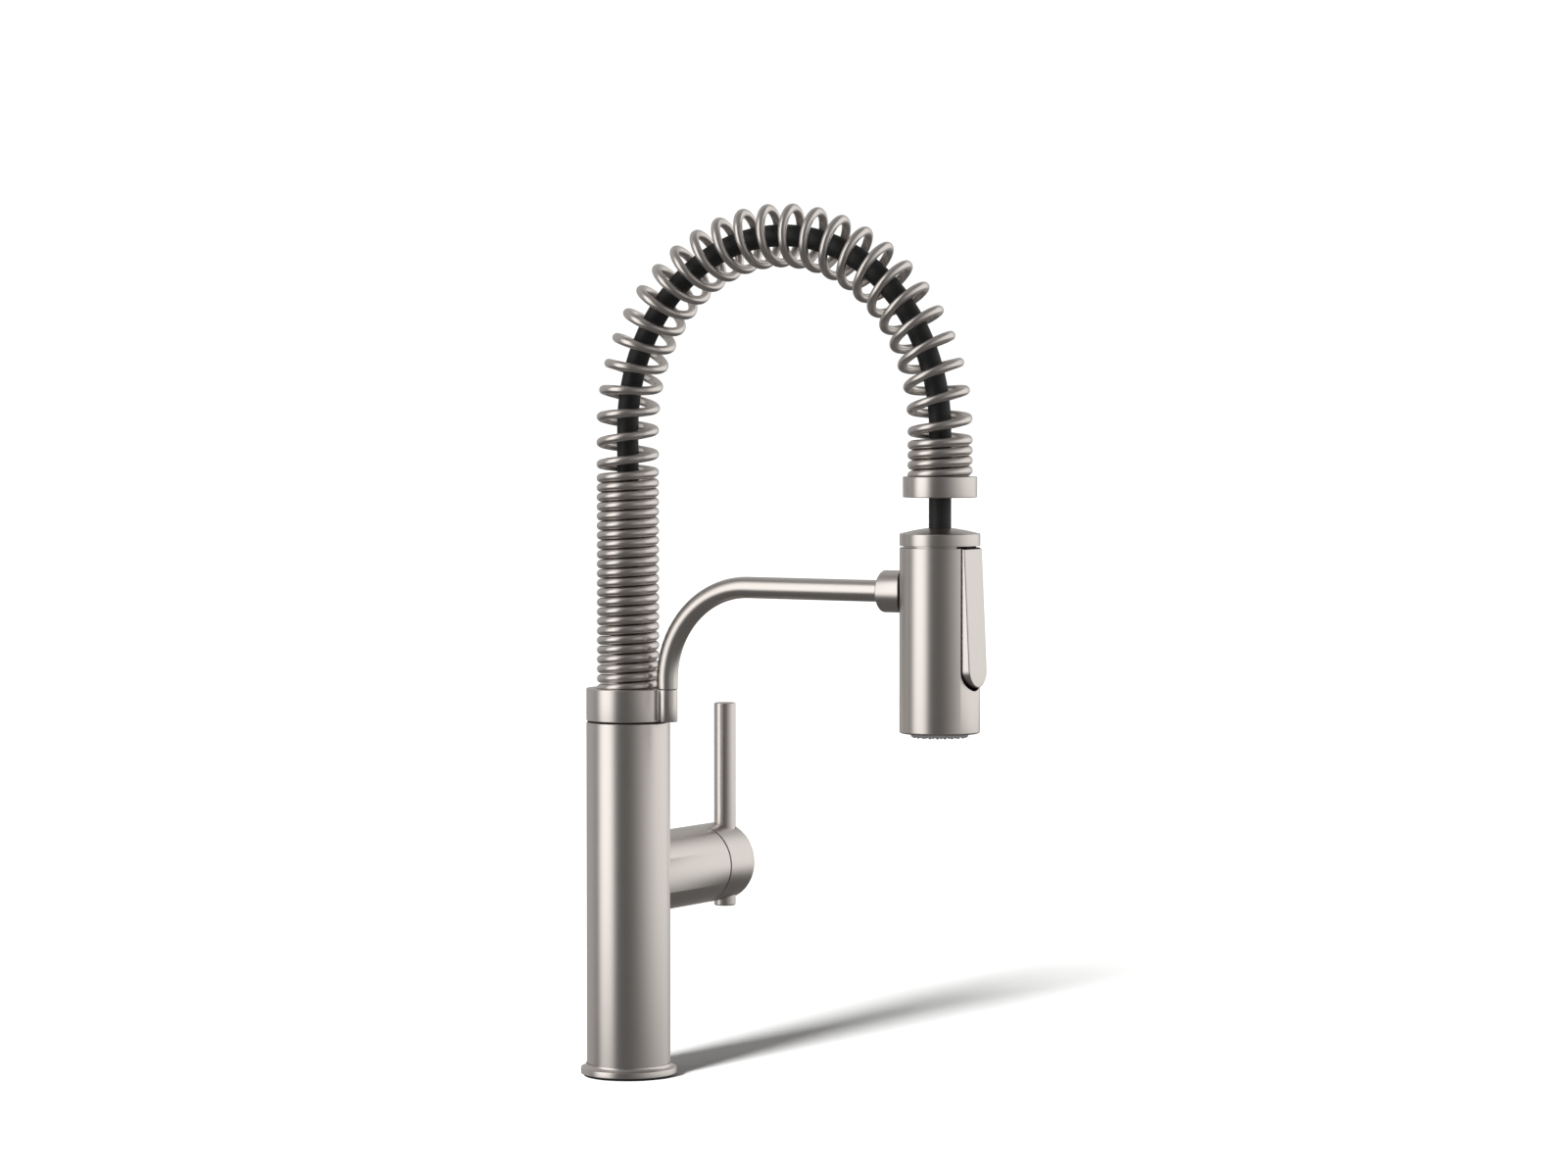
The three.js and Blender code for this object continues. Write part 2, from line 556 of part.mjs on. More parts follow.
// The wire's stations: close coils on the body leg, open coils over the arch, close ones at the end.
function springWire() {
  const line = new SpoutLine(SPRING_Z, SPRING_END_Z);
  const length = line.getLength();
  const tight = TIGHT_TOP - SPRING_Z;
  const closeLength = tight + END_TURNS * END_PITCH + (OPENING_TURNS * TIGHT_PITCH + CLOSING_TURNS * END_PITCH) / 2;
  const loosePitch = (length - closeLength) / (LOOSE_TURNS + (OPENING_TURNS + CLOSING_TURNS) / 2);
  const stages = [ // turns, first pitch, last pitch
    [tight / TIGHT_PITCH, TIGHT_PITCH, TIGHT_PITCH], [OPENING_TURNS, TIGHT_PITCH, loosePitch],
    [LOOSE_TURNS, loosePitch, loosePitch], [CLOSING_TURNS, loosePitch, END_PITCH],
    [END_TURNS, END_PITCH, END_PITCH],
  ];
  const turns = stages.reduce((sum, [count]) => sum + count, 0);
  const distance = (n) => stages.reduce(([travelled, left], [count, first, last]) => {
    const part = Math.min(Math.max(left, 0), count);
    return [travelled + part * first + ((last - first) * part ** 2) / (2 * count), left - count];
  }, [0, n])[0];
  const steps = Math.round(turns * COIL_STEPS);
  return Array.from({ length: steps + 1 }, (_, i) => {
    const n = (turns * i) / steps;
    const u = Math.min(distance(n) / length, 1);
    const tangent = line.getTangentAt(u);
    const inward = new THREE.Vector3(tangent.z, 0, -tangent.x);
    const a = THREE.MathUtils.degToRad(START_ANGLE) + 2 * Math.PI * n;
    return line.getPointAt(u)
      .addScaledVector(inward, COIL_R * Math.cos(a))
      .add(new THREE.Vector3(0, COIL_R * Math.sin(a), 0));
  });
}

const HOSE_FOOT = RISER_TOP + GAP;
const HOSE_JOIN = RING_TOP - 1.5; // inside the end ring, where the moving stretch starts

function hoseArch() {
  const arch = Array.from({ length: 25 }, (_, i) => {
    const a = (Math.PI * i) / 24;
    const half = REACH / 2;
    return new THREE.Vector3(half - half * Math.cos(a), 0, LEG_TOP + ARCH_RISE * Math.sin(a));
  });
  return sweep([new THREE.Vector3(0, 0, HOSE_FOOT), ...arch, new THREE.Vector3(REACH, 0, HOSE_JOIN + GAP)],
    HOSE_R, 10);
}

function endRing() {
  const edge = 0.6;
  const bore = HOSE_R + 3.35;
  const seat = SPRING_END_Z - WIRE_R - GAP;
  return revolve([
    [bore, RING_BOTTOM], [RING_R - edge, RING_BOTTOM], [RING_R, RING_BOTTOM + edge],
    [RING_R, RING_TOP - edge], [RING_R - edge, RING_TOP], [SPRING_SEAT_R, RING_TOP],
    [SPRING_SEAT_R, seat], [bore, seat],
  ]);
}

function springSpout(faucet) {
  piece(faucet, 'spout_spring', sweep(springWire(), WIRE_R, WIRE_SIDES), 'nickel');
  piece(faucet, 'spout_hose', hoseArch(), 'rubber');
  const ferrule = tube(HOSE_R + 1.7, HOSE_R + GAP, RISER_TOP + 2, RISER_TOP + 17);
  piece(faucet, 'hose_foot_ferrule', ferrule, 'steel');
  const end = subassembly(faucet, REACH, 0, 0);
  piece(end, 'spring_end_ring', endRing(), 'nickel');
  const bush = tube(HOSE_R + 3.05, HOSE_R + 0.4, RING_BOTTOM + GAP, RING_TOP - 9);
  piece(end, 'hose_guide_bush', bush, 'blackPlastic');
}

// ---------- dock arm ----------
function armTube() {
  const bend = Array.from({ length: 9 }, (_, i) => {
    const a = (Math.PI / 2) * (i / 8);
    return new THREE.Vector3(ARM_X + ARM_BEND * (1 - Math.cos(a)), 0, ARM_Z - ARM_BEND * (1 - Math.sin(a)));
  });
  const foot = new THREE.Vector3(ARM_X, 0, ARM_SOCKET_TOP + GAP);
  const end = new THREE.Vector3(DOCK_BACK + 4, 0, ARM_Z);
  return sweep([foot, ...bend, end], ARM_R, 16, ARM_BORE_R);
}

// A disc-shaped region of the round wall between two radii about the sprayhead axis, facing the dock.
function facingPatch(patchR, inner, outer) {
  const shell = tube(outer, inner, ARM_Z - patchR - 1, ARM_Z + patchR + 1);
  return common(shell, at(alongX(rod(patchR, -outer - 1, 0)), 0, 0, ARM_Z));
}

function dockHolder() {
  const lip = 3;
  const bore = ARM_R + GAP;
  const flare = arc(bore + 0.3 + lip, DOCK_BACK - lip, lip, 180, 90, 4);
  const barrel = alongX(revolve([
    [0, DOCK_BACK - lip], ...flare, [DOCK_R - 0.6, DOCK_BACK], [DOCK_R, DOCK_BACK + 0.6],
    [DOCK_R, REACH], [0, REACH],
  ]));
  const armBore = alongX(rod(bore, DOCK_BACK - lip - 1, DOCK_BACK + 4 + GAP));
  const magnetFace = REACH - SADDLE_R;
  const magnetBore = alongX(rod(MAGNET_R + GAP, magnetFace - MAGNET_H - 1, REACH));
  const saddle = at(rod(SADDLE_R, -DOCK_R - 1, DOCK_R + 1), REACH, 0, 0);
  return at(cut(barrel, armBore, magnetBore, saddle), 0, 0, ARM_Z);
}

function dockArm(faucet) {
  const stud = at(rod(ARM_BORE_R - 0.4, COLLAR_Z + 8 + GAP, ARM_SOCKET_TOP + 9), ARM_X, 0, 0);
  piece(faucet, 'arm_stud', stud, 'steel');
  const screw = alongY(rod(SCREW_R, ARM_BORE_R, ARM_SOCKET_R - 0.4));
  piece(faucet, 'arm_set_screw', at(screw, ARM_X, 0, COLLAR_Z + 12), 'steel');
  piece(faucet, 'arm_tube', armTube(), 'nickel');
  piece(faucet, 'dock_holder', dockHolder(), 'nickel');
  const magnetEnd = REACH - SADDLE_R - 0.4;
  const magnet = at(alongX(rod(MAGNET_R, magnetEnd - MAGNET_H, magnetEnd)), 0, 0, ARM_Z);
  piece(faucet, 'dock_magnet', magnet, 'magnet');
  const end = subassembly(faucet, REACH, 0, 0);
  piece(end, 'dock_pad', facingPatch(DOCK_R - 0.7, HEAD_R + GAP, HEAD_R + GAP + PAD_T), 'rubber');
}

// ---------- sprayhead ----------
const HEAD_BORE_R = HEAD_R - HEAD_WALL;

function headShell() {
  const edge = 2.2;
  const bottom = arc(HEAD_R - edge, HEAD_BOTTOM + edge, edge, -90, 0, 4);
  const wall = revolve([
    [HEAD_BORE_R, HEAD_BOTTOM + 0.2], ...bottom, [HEAD_R, SHELL_TOP], [HEAD_BORE_R, SHELL_TOP],
  ]);
  const slotEnd = at(alongX(rod(SLOT_HALF, CORE_R, HEAD_R + 1)), 0, 0, SLOT_BOTTOM + SLOT_HALF);
  const slot = block(CORE_R, HEAD_R + 1, -SLOT_HALF, SLOT_HALF, SLOT_BOTTOM + SLOT_HALF, SHELL_TOP + 1);
  return cut(wall, slotEnd, slot);
}

function headCap() {
  const spigot = HEAD_BORE_R - GAP;
  const side = CAP_BOTTOM + HEAD_CAP_SIDE;
  const hole = HOSE_R + 0.4;
  const edge = arc(HEAD_R - 1.4, side - 0.1, 1.4, 0, 70, 3);
  const crimpRoom = HEAD_CAP_TOP - 6.4;
  const cap = revolve([
    [17, CAP_BOTTOM - 5.4], [spigot, CAP_BOTTOM - 5.4], [spigot, CAP_BOTTOM], [HEAD_R, CAP_BOTTOM],
    ...edge, [16, HEAD_CAP_TOP - 1.9], [hole + 2.2, HEAD_CAP_TOP - 0.2], [hole + 0.6, HEAD_CAP_TOP],
    [hole, HEAD_CAP_TOP], [hole, crimpRoom], [9.6, crimpRoom], [9.6, CAP_BOTTOM], [17, CAP_BOTTOM],
  ]);
  const room = SLOT_HALF;
  return cut(cap, block(PADDLE_PIN_X - 4, HEAD_R + 1, -room, room, CAP_BOTTOM - 6, CAP_BOTTOM));
}

// The core carries the water and, in its wide top, the swivel ball and the paddle's pin.
function headCore() {
  const wide = HEAD_BORE_R - GAP;
  const body = revolve([
    [0, CORE_BOTTOM], [CORE_R, CORE_BOTTOM], [CORE_R, CORE_HEAD - 5], [wide, CORE_HEAD], [wide, CORE_TOP],
    [SOCKET_R, CORE_TOP], [SOCKET_R, SOCKET_BOTTOM], [0, SOCKET_BOTTOM],
  ]);
  const waterway = rod(WATERWAY_R, CORE_BOTTOM - 1, SOCKET_BOTTOM + 1);
  const room = SLOT_HALF;
  const paddleRoom = block(PADDLE_PIN_X - 3.4, HEAD_R, -room, room, CORE_HEAD - 6, CORE_TOP + 1);
  const pinHole = alongY(rod(PIN_R + GAP, -HEAD_R, HEAD_R));
  const plungerBore = at(alongX(rod(PLUNGER_R + GAP, 0, CORE_R + 1)), 0, 0, PLUNGER_Z);
  return cut(body, waterway, paddleRoom, at(pinHole, PADDLE_PIN_X, 0, PADDLE_PIN_Z), plungerBore);
}

const PADDLE_LEAN = Math.atan2(PADDLE_FACE_BOTTOM - PADDLE_FACE_TOP, PADDLE_TOP - PADDLE_BOTTOM);
const paddleFace = (z) => PADDLE_FACE_BOTTOM - (z - PADDLE_BOTTOM) * Math.tan(PADDLE_LEAN);

function paddle() {
  const edge = 0.6;
  const half = PADDLE_HALF - edge;
  const length = PADDLE_TOP - PADDLE_BOTTOM - 2 * edge;
  const outline = new THREE.Shape();
  outline.moveTo(half, length);
  outline.lineTo(-half, length);
  outline.lineTo(-half, half);
  outline.absarc(0, half, half, Math.PI, 2 * Math.PI);
  outline.lineTo(half, length);
  const slab = new THREE.ExtrudeGeometry(outline, {
    depth: PADDLE_T - 2 * edge, bevelThickness: edge, bevelSize: edge, bevelSegments: 1, curveSegments: 12,
  });
  slab.rotateX(Math.PI / 2).rotateZ(Math.PI / 2);
  slab.translate(-PADDLE_T + edge, 0, edge).rotateY(-PADDLE_LEAN);
  at(slab, PADDLE_FACE_BOTTOM, 0, PADDLE_BOTTOM);
  const knuckle = at(alongY(rod(KNUCKLE_R, -PADDLE_HALF, PADDLE_HALF)), PADDLE_PIN_X, 0, PADDLE_PIN_Z);
  const faceX = paddleFace(PADDLE_PIN_Z) - PADDLE_T + 1;
  const web = block(PADDLE_PIN_X, faceX, -PADDLE_HALF, PADDLE_HALF, PADDLE_PIN_Z - 2.8, PADDLE_PIN_Z + 2.8);
  const pinHole = alongY(rod(PIN_R + GAP, -PADDLE_HALF - 1, PADDLE_HALF + 1));
  return cut(join(slab, knuckle, web), at(pinHole, PADDLE_PIN_X, 0, PADDLE_PIN_Z));
}

function diverterPlunger() {
  const headX = paddleFace(PLUNGER_Z) - PADDLE_T - GAP - 0.2;
  const shape = revolve([
    [0, WATERWAY_R - 1], [PLUNGER_R, WATERWAY_R - 1],
    [PLUNGER_R, headX - 1.6], [PLUNGER_R + 1.4, headX - 1.6],
    [PLUNGER_R + 1.4, headX], [0, headX],
  ]);
  return at(alongX(shape), 0, 0, PLUNGER_Z);
}

function sprayFace() {
  const disc = revolve([
    [AERATOR_R + GAP, FACE_Z], [FACE_R - 1, FACE_Z], [FACE_R, FACE_Z + 1], [FACE_R, FACE_Z + 3.4],
    [AERATOR_R + GAP, FACE_Z + 3.4],
  ]);
  return cut(disc, ...nubPlaces().map(([x, y]) => at(rod(NUB_R + GAP, FACE_Z - 1, FACE_Z + 4), x, y, 0)));
}

function nubPlaces() {
  return NUB_RINGS.flatMap(([radius, count]) =>
    Array.from({ length: count }, (_, i) => polar(radius, (2 * Math.PI * i) / count)));
}

function nozzlePad() {
  const low = FACE_Z + 3.4 + GAP;
  const nub = () => rod(NUB_R, FACE_Z - NUB_DROP, low + 0.5);
  const pad = tube(FACE_R - GAP, AERATOR_R + GAP, low, low + 1.6);
  return join(pad, ...nubPlaces().map(([x, y]) => at(nub(), x, y, 0)));
}

function aerator() {
  const top = FACE_Z + FACE_H - 2;
  const cell = (x, y) => at(rod(0.8, FACE_Z - 1, FACE_Z + 1.5), x, y, 0);
  const cells = [cell(0, 0), ...Array.from({ length: 6 }, (_, i) => cell(...polar(3, (Math.PI * i) / 3)))];
  return cut(rod(AERATOR_R, FACE_Z - 0.4, top), ...cells);
}

function faceRing() {
  const inner = FACE_R + GAP;
  const outer = HEAD_BORE_R - GAP;
  const low = HEAD_BOTTOM + 0.4;
  return revolve([
    [inner, low], [outer, low], [outer, CORE_BOTTOM - GAP], [inner - 1.5, CORE_BOTTOM - GAP],
    [inner - 1.5, FACE_Z + FACE_H], [inner, FACE_Z + FACE_H],
  ]);
}

function swivelNut() {
  const outer = SOCKET_R - GAP;
  const low = BALL_Z + 4;
  return revolve([[BALL_R - 0.5, low], [outer, low], [outer, CORE_TOP], [5.3, CORE_TOP], [5.3, low + 3.5]]);
}

const HOSE_END = SHELL_TOP - 2.7;

function hoseSwivel() {
  const neck = 4.8;
  const ball = arc(0, BALL_Z, BALL_R, -90, THREE.MathUtils.radToDeg(Math.acos(neck / BALL_R)), 7);
  ball[0][0] = 0;
  return revolve([...ball, [neck, HOSE_END - GAP], [0, HOSE_END - GAP]]);
}

function sprayhead(faucet) {
  const head = subassembly(faucet, REACH, 0, 0);
  piece(head, 'hose_drop', rod(HOSE_R, HOSE_END, HOSE_JOIN), 'rubber');
  const crimpTop = HEAD_CAP_TOP - 7;
  piece(head, 'hose_crimp', tube(9.2, HOSE_R + GAP, CORE_TOP + GAP + 0.2, crimpTop), 'steel');
  piece(head, 'hose_swivel_ball', hoseSwivel(), 'brass');
  piece(head, 'swivel_seal', torus(BALL_R + 1.15, 0.6, BALL_Z), 'rubber');
  piece(head, 'swivel_nut', swivelNut(), 'brass');
  piece(head, 'head_cap', headCap(), 'nickel');
  piece(head, 'head_shell', headShell(), 'nickel');
  piece(head, 'head_core', headCore(), 'blackPlastic');
  const keeper = facingPatch(MAGNET_R, HEAD_BORE_R - GAP - 1.5, HEAD_BORE_R - GAP);
  piece(head, 'head_magnet_plate', keeper, 'steel');
  const valveBottom = SOCKET_BOTTOM - 8;
  piece(head, 'check_valve', tube(WATERWAY_R - GAP, 3, valveBottom, valveBottom + 6), 'greyPlastic');
  piece(head, 'spray_paddle', paddle(), 'nickel');
  const pinHalf = Math.sqrt((HEAD_BORE_R - GAP) ** 2 - (PADDLE_PIN_X + PIN_R) ** 2) - GAP;
  const pin = at(alongY(rod(PIN_R, -pinHalf, pinHalf)), PADDLE_PIN_X, 0, PADDLE_PIN_Z);
  piece(head, 'paddle_pin', pin, 'steel');
  piece(head, 'diverter_plunger', diverterPlunger(), 'whitePlastic');
  piece(head, 'face_ring', faceRing(), 'blackPlastic');
  piece(head, 'spray_face', sprayFace(), 'greyPlastic');
  piece(head, 'nozzle_pad', nozzlePad(), 'rubber');
  piece(head, 'aerator', aerator(), 'whitePlastic');
}

// ---------- the whole faucet ----------
const faucet = new THREE.Group();
faucet.name = 'kitchen_faucet';
baseAndMounting(faucet);
piece(faucet, 'body_tube', bodyTube(), 'nickel');
valve(faucet);
handle(faucet);
swivel(faucet);
springSpout(faucet);
dockArm(faucet);
sprayhead(faucet);

export default faucet;
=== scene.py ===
import math

import bmesh
import bpy
from mathutils import Matrix, Vector


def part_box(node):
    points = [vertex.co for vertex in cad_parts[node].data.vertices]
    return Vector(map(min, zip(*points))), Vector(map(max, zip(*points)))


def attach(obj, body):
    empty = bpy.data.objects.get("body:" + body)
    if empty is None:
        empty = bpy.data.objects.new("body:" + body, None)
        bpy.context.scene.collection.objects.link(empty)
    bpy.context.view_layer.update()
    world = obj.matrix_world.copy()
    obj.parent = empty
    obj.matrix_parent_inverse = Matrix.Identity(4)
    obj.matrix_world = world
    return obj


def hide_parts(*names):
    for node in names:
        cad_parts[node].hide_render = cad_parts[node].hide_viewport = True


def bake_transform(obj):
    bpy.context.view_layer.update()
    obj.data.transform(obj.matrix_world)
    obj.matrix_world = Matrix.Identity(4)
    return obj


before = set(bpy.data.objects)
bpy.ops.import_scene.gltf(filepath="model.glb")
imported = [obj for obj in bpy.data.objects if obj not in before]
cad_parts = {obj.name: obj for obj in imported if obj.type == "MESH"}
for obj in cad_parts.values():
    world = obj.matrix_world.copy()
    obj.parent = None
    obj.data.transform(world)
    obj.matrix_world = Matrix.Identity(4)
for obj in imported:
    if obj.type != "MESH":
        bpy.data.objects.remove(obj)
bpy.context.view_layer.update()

MM = 0.001
QUARTER = math.pi / 2
GAP = 0.3  # clearance between neighbouring pieces, mm
PAST = 1  # how far a cutter runs past the piece that it cuts, mm


# ---------- where the pieces are ----------
class Extent:
    """A CAD piece's box, in millimetres: low and high edges, and its middle."""

    def __init__(self, node):
        low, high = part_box(node)
        self.x0, self.y0, self.z0 = (c / MM for c in low)
        self.x1, self.y1, self.z1 = (c / MM for c in high)
        self.x, self.y, self.z = (c / MM for c in (low + high) / 2)


names = sorted(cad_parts)
at = {name: Extent(name) for name in names}

FOOT_FLANGE = 3.9  # how far the foot ring stands out of the body
BODY_R = at["base_ring"].x1 - FOOT_FLANGE
BODY_TOP = at["body_tube"].z1
FOOT_Z = at["body_tube"].z0
HUB_Z = at["handle_cap"].z
HUB_R = (at["handle_cap"].z1 - at["handle_cap"].z0) / 2
PIVOT_Y = at["stem_pin"].y
REACH = at["head_shell"].x
HEAD_R = (at["head_shell"].y1 - at["head_shell"].y0) / 2
COLLAR_Z = BODY_TOP + 1  # the swivel bush fills the joint below it
COLLAR_TOP = at["spout_collar"].z1
ARM_X = at["arm_stud"].x
ARM_Z = at["dock_holder"].z
ARM_R = at["arm_tube"].y1
HOSE_R = at["spout_hose"].y1
RING_TOP = at["spring_end_ring"].z1
SHELL_TOP = at["head_shell"].z1
SHELL_BOTTOM = at["head_shell"].z0

# Turns that lay a piece made along Z along another axis.
ALONG_X = Matrix.Rotation(QUARTER, 4, "Y")
ALONG_Y = Matrix.Rotation(-QUARTER, 4, "X")


def moved(x, y, z):
    return Matrix.Translation((x, y, z))


HUB_AXIS = moved(0, 0, HUB_Z) @ ALONG_Y
HEAD_AXIS = moved(REACH, 0, 0)
ARM_AXIS = moved(0, 0, ARM_Z) @ ALONG_X


# ---------- making meshes ----------
def new_piece(name, points, faces):
    mesh = bpy.data.meshes.new(name)
    mesh.from_pydata([Vector(p) * MM for p in points], [], faces)
    form = bmesh.new()
    form.from_mesh(mesh)
    bmesh.ops.recalc_face_normals(form, faces=form.faces)
    form.to_mesh(mesh)
    form.free()
    piece = bpy.data.objects.new(name, mesh)
    bpy.context.scene.collection.objects.link(piece)
    return piece


def stitch(rows, wrap):
    """Faces between neighbouring rows of point numbers; each row runs all the way round.

    With wrap, the last row is joined to the first one again.
    """
    faces = []
    for low, high in zip(rows, rows[1:] + rows[:1] if wrap else rows[1:]):
        for i in range(len(low)):
            j = (i + 1) % len(low)
            corners = list(dict.fromkeys((low[i], low[j], high[j], high[i])))
            if len(corners) > 2:
                faces.append(corners)
    return faces


def rounded(corners, steps=4):
    """An outline from (across, up, corner radius) points, with its corners turned into arcs."""
    outline = []
    for i, (across, up, radius) in enumerate(corners):
        here = Vector((across, up))
        if radius <= 0:
            outline.append(here)
            continue
        back = (Vector(corners[i - 1][:2]) - here).normalized()
        on = (Vector(corners[(i + 1) % len(corners)][:2]) - here).normalized()
        half = back.angle(on) / 2
        centre = here + (back + on).normalized() * (radius / math.sin(half))
        first = here + back * (radius / math.tan(half)) - centre
        last = here + on * (radius / math.tan(half)) - centre
        sweep = math.pi - 2 * half
        for k in range(steps + 1):
            t = k / steps
            along = first * math.sin((1 - t) * sweep) + last * math.sin(t * sweep)
            outline.append(centre + along / math.sin(sweep))
    return [tuple(p) for p in outline]


def arc(across, up, radius, start, end, steps=8):
    """Points on an arc, with its angles in degrees."""
    turns = [math.radians(start + (end - start) * i / steps) for i in range(steps + 1)]
    return [(across + radius * math.cos(a), up + radius * math.sin(a)) for a in turns]


def turned(name, outline, place=None, steps=128):
    """A closed (radius, height) outline turned about the Z axis, then put in its place."""
    place = place or Matrix.Identity(4)
    points, rows = [], []
    for radius, height in outline:
        first = len(points)
        if radius < 1e-6:
            points.append(place @ Vector((0, 0, height)))
            rows.append([first] * steps)
            continue
        for i in range(steps):
            a = 2 * math.pi * i / steps
            points.append(place @ Vector((radius * math.cos(a), radius * math.sin(a), height)))
        rows.append(list(range(first, first + steps)))
    return new_piece(name, points, stitch(rows, wrap=True))


def rod(name, radius, z0, z1, place=None, steps=63, edge=0.0):
    corners = [(0, z0, 0), (radius, z0, edge), (radius, z1, edge), (0, z1, 0)]
    return turned(name, rounded(corners, 3), place, steps)


def tube(name, outer, inner, z0, z1, place=None, steps=128, edge=0.25):
    corners = [(inner, z0, edge), (outer, z0, edge), (outer, z1, edge), (inner, z1, edge)]
    return turned(name, rounded(corners, 3), place, steps)


def prism(name, layers, place=None):
    """A solid through a stack of outlines, each a list of 3-D points, with flat ends."""
    place = place or Matrix.Identity(4)
    points, rows = [], []
    for layer in layers:
        rows.append(list(range(len(points), len(points) + len(layer))))
        points += [place @ Vector(p) for p in layer]
    faces = stitch(rows, wrap=False) + [rows[0][::-1], rows[-1]]
    return new_piece(name, points, faces)


def swept(name, stations, sides, bore=0.0):
    """A round section carried along stations of (centre, direction, sideways, radius)."""
    def circle(centre, direction, sideways, radius):
        up = direction.cross(sideways).normalized()
        out = up.cross(direction).normalized()
        turns = [2 * math.pi * i / sides for i in range(sides)]
        return [centre + radius * (math.cos(a) * out + math.sin(a) * up) for a in turns]

    loops = [circle(*station) for station in stations]
    if bore:
        loops += [circle(c, d, s, bore) for c, d, s, _ in reversed(stations)]
    points, rows = [], []
    for loop in loops:
        rows.append(list(range(len(points), len(points) + sides)))
        points += loop
    faces = stitch(rows, wrap=bore > 0)
    if not bore:
        faces += [rows[0][::-1], rows[-1]]
    return new_piece(name, points, faces)


def settle(piece):
    """Applies the modifiers that a piece carries."""
    bpy.context.view_layer.update()
    graph = bpy.context.evaluated_depsgraph_get()
    rough = piece.data
    mesh = bpy.data.meshes.new_from_object(piece.evaluated_get(graph))
    piece.modifiers.clear()
    piece.data = mesh
    bpy.data.meshes.remove(rough)
    return piece


def combine(piece, tools, operation):
    for tool in tools:
        step = piece.modifiers.new("shape", "BOOLEAN")
        step.operation = operation
        step.solver = "EXACT"
        step.object = tool
        settle(piece)
        bpy.data.objects.remove(tool)
    return piece


def cut(piece, *tools):
    return combine(piece, tools, "DIFFERENCE")


def join(piece, *tools):
    return combine(piece, tools, "UNION")


def common(piece, *tools):
    return combine(piece, tools, "INTERSECT")


def soften(piece, width, angle=35, segments=2):
    """Rounds the sharp edges of a piece a little."""
    step = piece.modifiers.new("edges", "BEVEL")
    step.width = width * MM
    step.segments = segments
    step.limit_method = "ANGLE"
    step.angle_limit = math.radians(angle)
    step.use_clamp_overlap = True
    return settle(piece)


def shade(piece, angle=38):
    """Smooth shading with crisp edges above an angle."""
    form = bmesh.new()
    form.from_mesh(piece.data)
    for face in form.faces:
        face.smooth = True
    for edge in form.edges:
        if len(edge.link_faces) == 2:
            edge.smooth = edge.calc_face_angle(0) < math.radians(angle)
    form.to_mesh(piece.data)
    form.free()
    return piece


# ---------- shader arithmetic ----------
class Signal:
    """A shader socket that works in Python sums: each operator adds its Math node."""

    def __init__(self, tree, socket):
        self.tree, self.socket = tree, socket

    def __add__(self, other):
        return self.tree.maths("ADD", self, other)

    def __sub__(self, other):
        return self.tree.maths("SUBTRACT", self, other)

    def __rsub__(self, other):
        return self.tree.maths("SUBTRACT", other, self)

    def __mul__(self, other):
        return self.tree.maths("MULTIPLY", self, other)

    __radd__, __rmul__ = __add__, __mul__


class Tree:
    """A node tree that is filled by calls."""

    def __init__(self, nodes):
        self.nodes = nodes
        nodes.nodes.clear()

    def add(self, kind, settings=None, inputs=None, outlet=0):
        node = self.nodes.nodes.new("ShaderNode" + kind)
        for key, value in (settings or {}).items():
            setattr(node, key, value)
        for key, value in (inputs or {}).items():
            if isinstance(value, Signal):
                self.nodes.links.new(value.socket, node.inputs[key])
            else:
                node.inputs[key].default_value = value
        return Signal(self, node.outputs[outlet]) if len(node.outputs) else node

    def maths(self, operation, *operands):
        return self.add("Math", {"operation": operation}, dict(enumerate(operands)))

    def step(self, value, low, high):
        """0 below low, 1 above high, smooth between."""
        return self.add("MapRange", {"interpolation_type": "SMOOTHSTEP"},
                        {0: value, 1: low, 2: high})

    def stretch(self, vector, scale):
        return self.add("VectorMath", {"operation": "MULTIPLY"}, {0: vector, 1: scale})

    def noise(self, vector, scale, detail=2.0, rough=0.5):
        return self.add("TexNoise", {}, {
            "Vector": vector, "Scale": scale, "Detail": detail, "Roughness": rough})

    def tones(self, dark, light, share):
        return self.add("Mix", {"data_type": "RGBA"}, {0: share, 6: (*dark, 1), 7: (*light, 1)},
                        outlet=2)

    def bump(self, height, strength, depth):
        """A bumped normal; depth in millimetres."""
        return self.add("Bump", {}, {
            "Height": height, "Strength": strength, "Distance": depth * MM})


def finish_of(name, paint):
    """A material whose Principled inputs come from paint(tree, place in metres)."""
    material = bpy.data.materials.new(name)
    material.use_nodes = True
    tree = Tree(material.node_tree)
    place = tree.add("TexCoord", outlet=3)
    surface = tree.add("BsdfPrincipled", {}, paint(tree, place))
    tree.add("OutputMaterial", {}, {"Surface": surface})
    return material


NICKEL_DARK, NICKEL_LIGHT = (0.628, 0.592, 0.567), (0.708, 0.668, 0.640)


def satin_nickel(name, lines):
    """Brushed plate. `lines` are how often the brushing changes along x, y and z, per metre."""
    def paint(tree, place):
        fine = tree.noise(tree.stretch(place, lines), 1.0, 3.0, 0.6)
        coarse = tree.noise(tree.stretch(place, [n / 4 for n in lines]), 1.0, 2.0)
        cloud = tree.noise(place, 45.0, 2.0)
        grain = fine * 0.6 + coarse * 0.4
        return {
            "Base Color": tree.tones(NICKEL_DARK, NICKEL_LIGHT, grain * 0.75 + cloud * 0.25),
            "Metallic": 1.0,
            "Roughness": 0.25 + grain * 0.09 + cloud * 0.03,
            "Normal": tree.bump(grain, 0.22, 0.02),
        }
    return finish_of(name, paint)


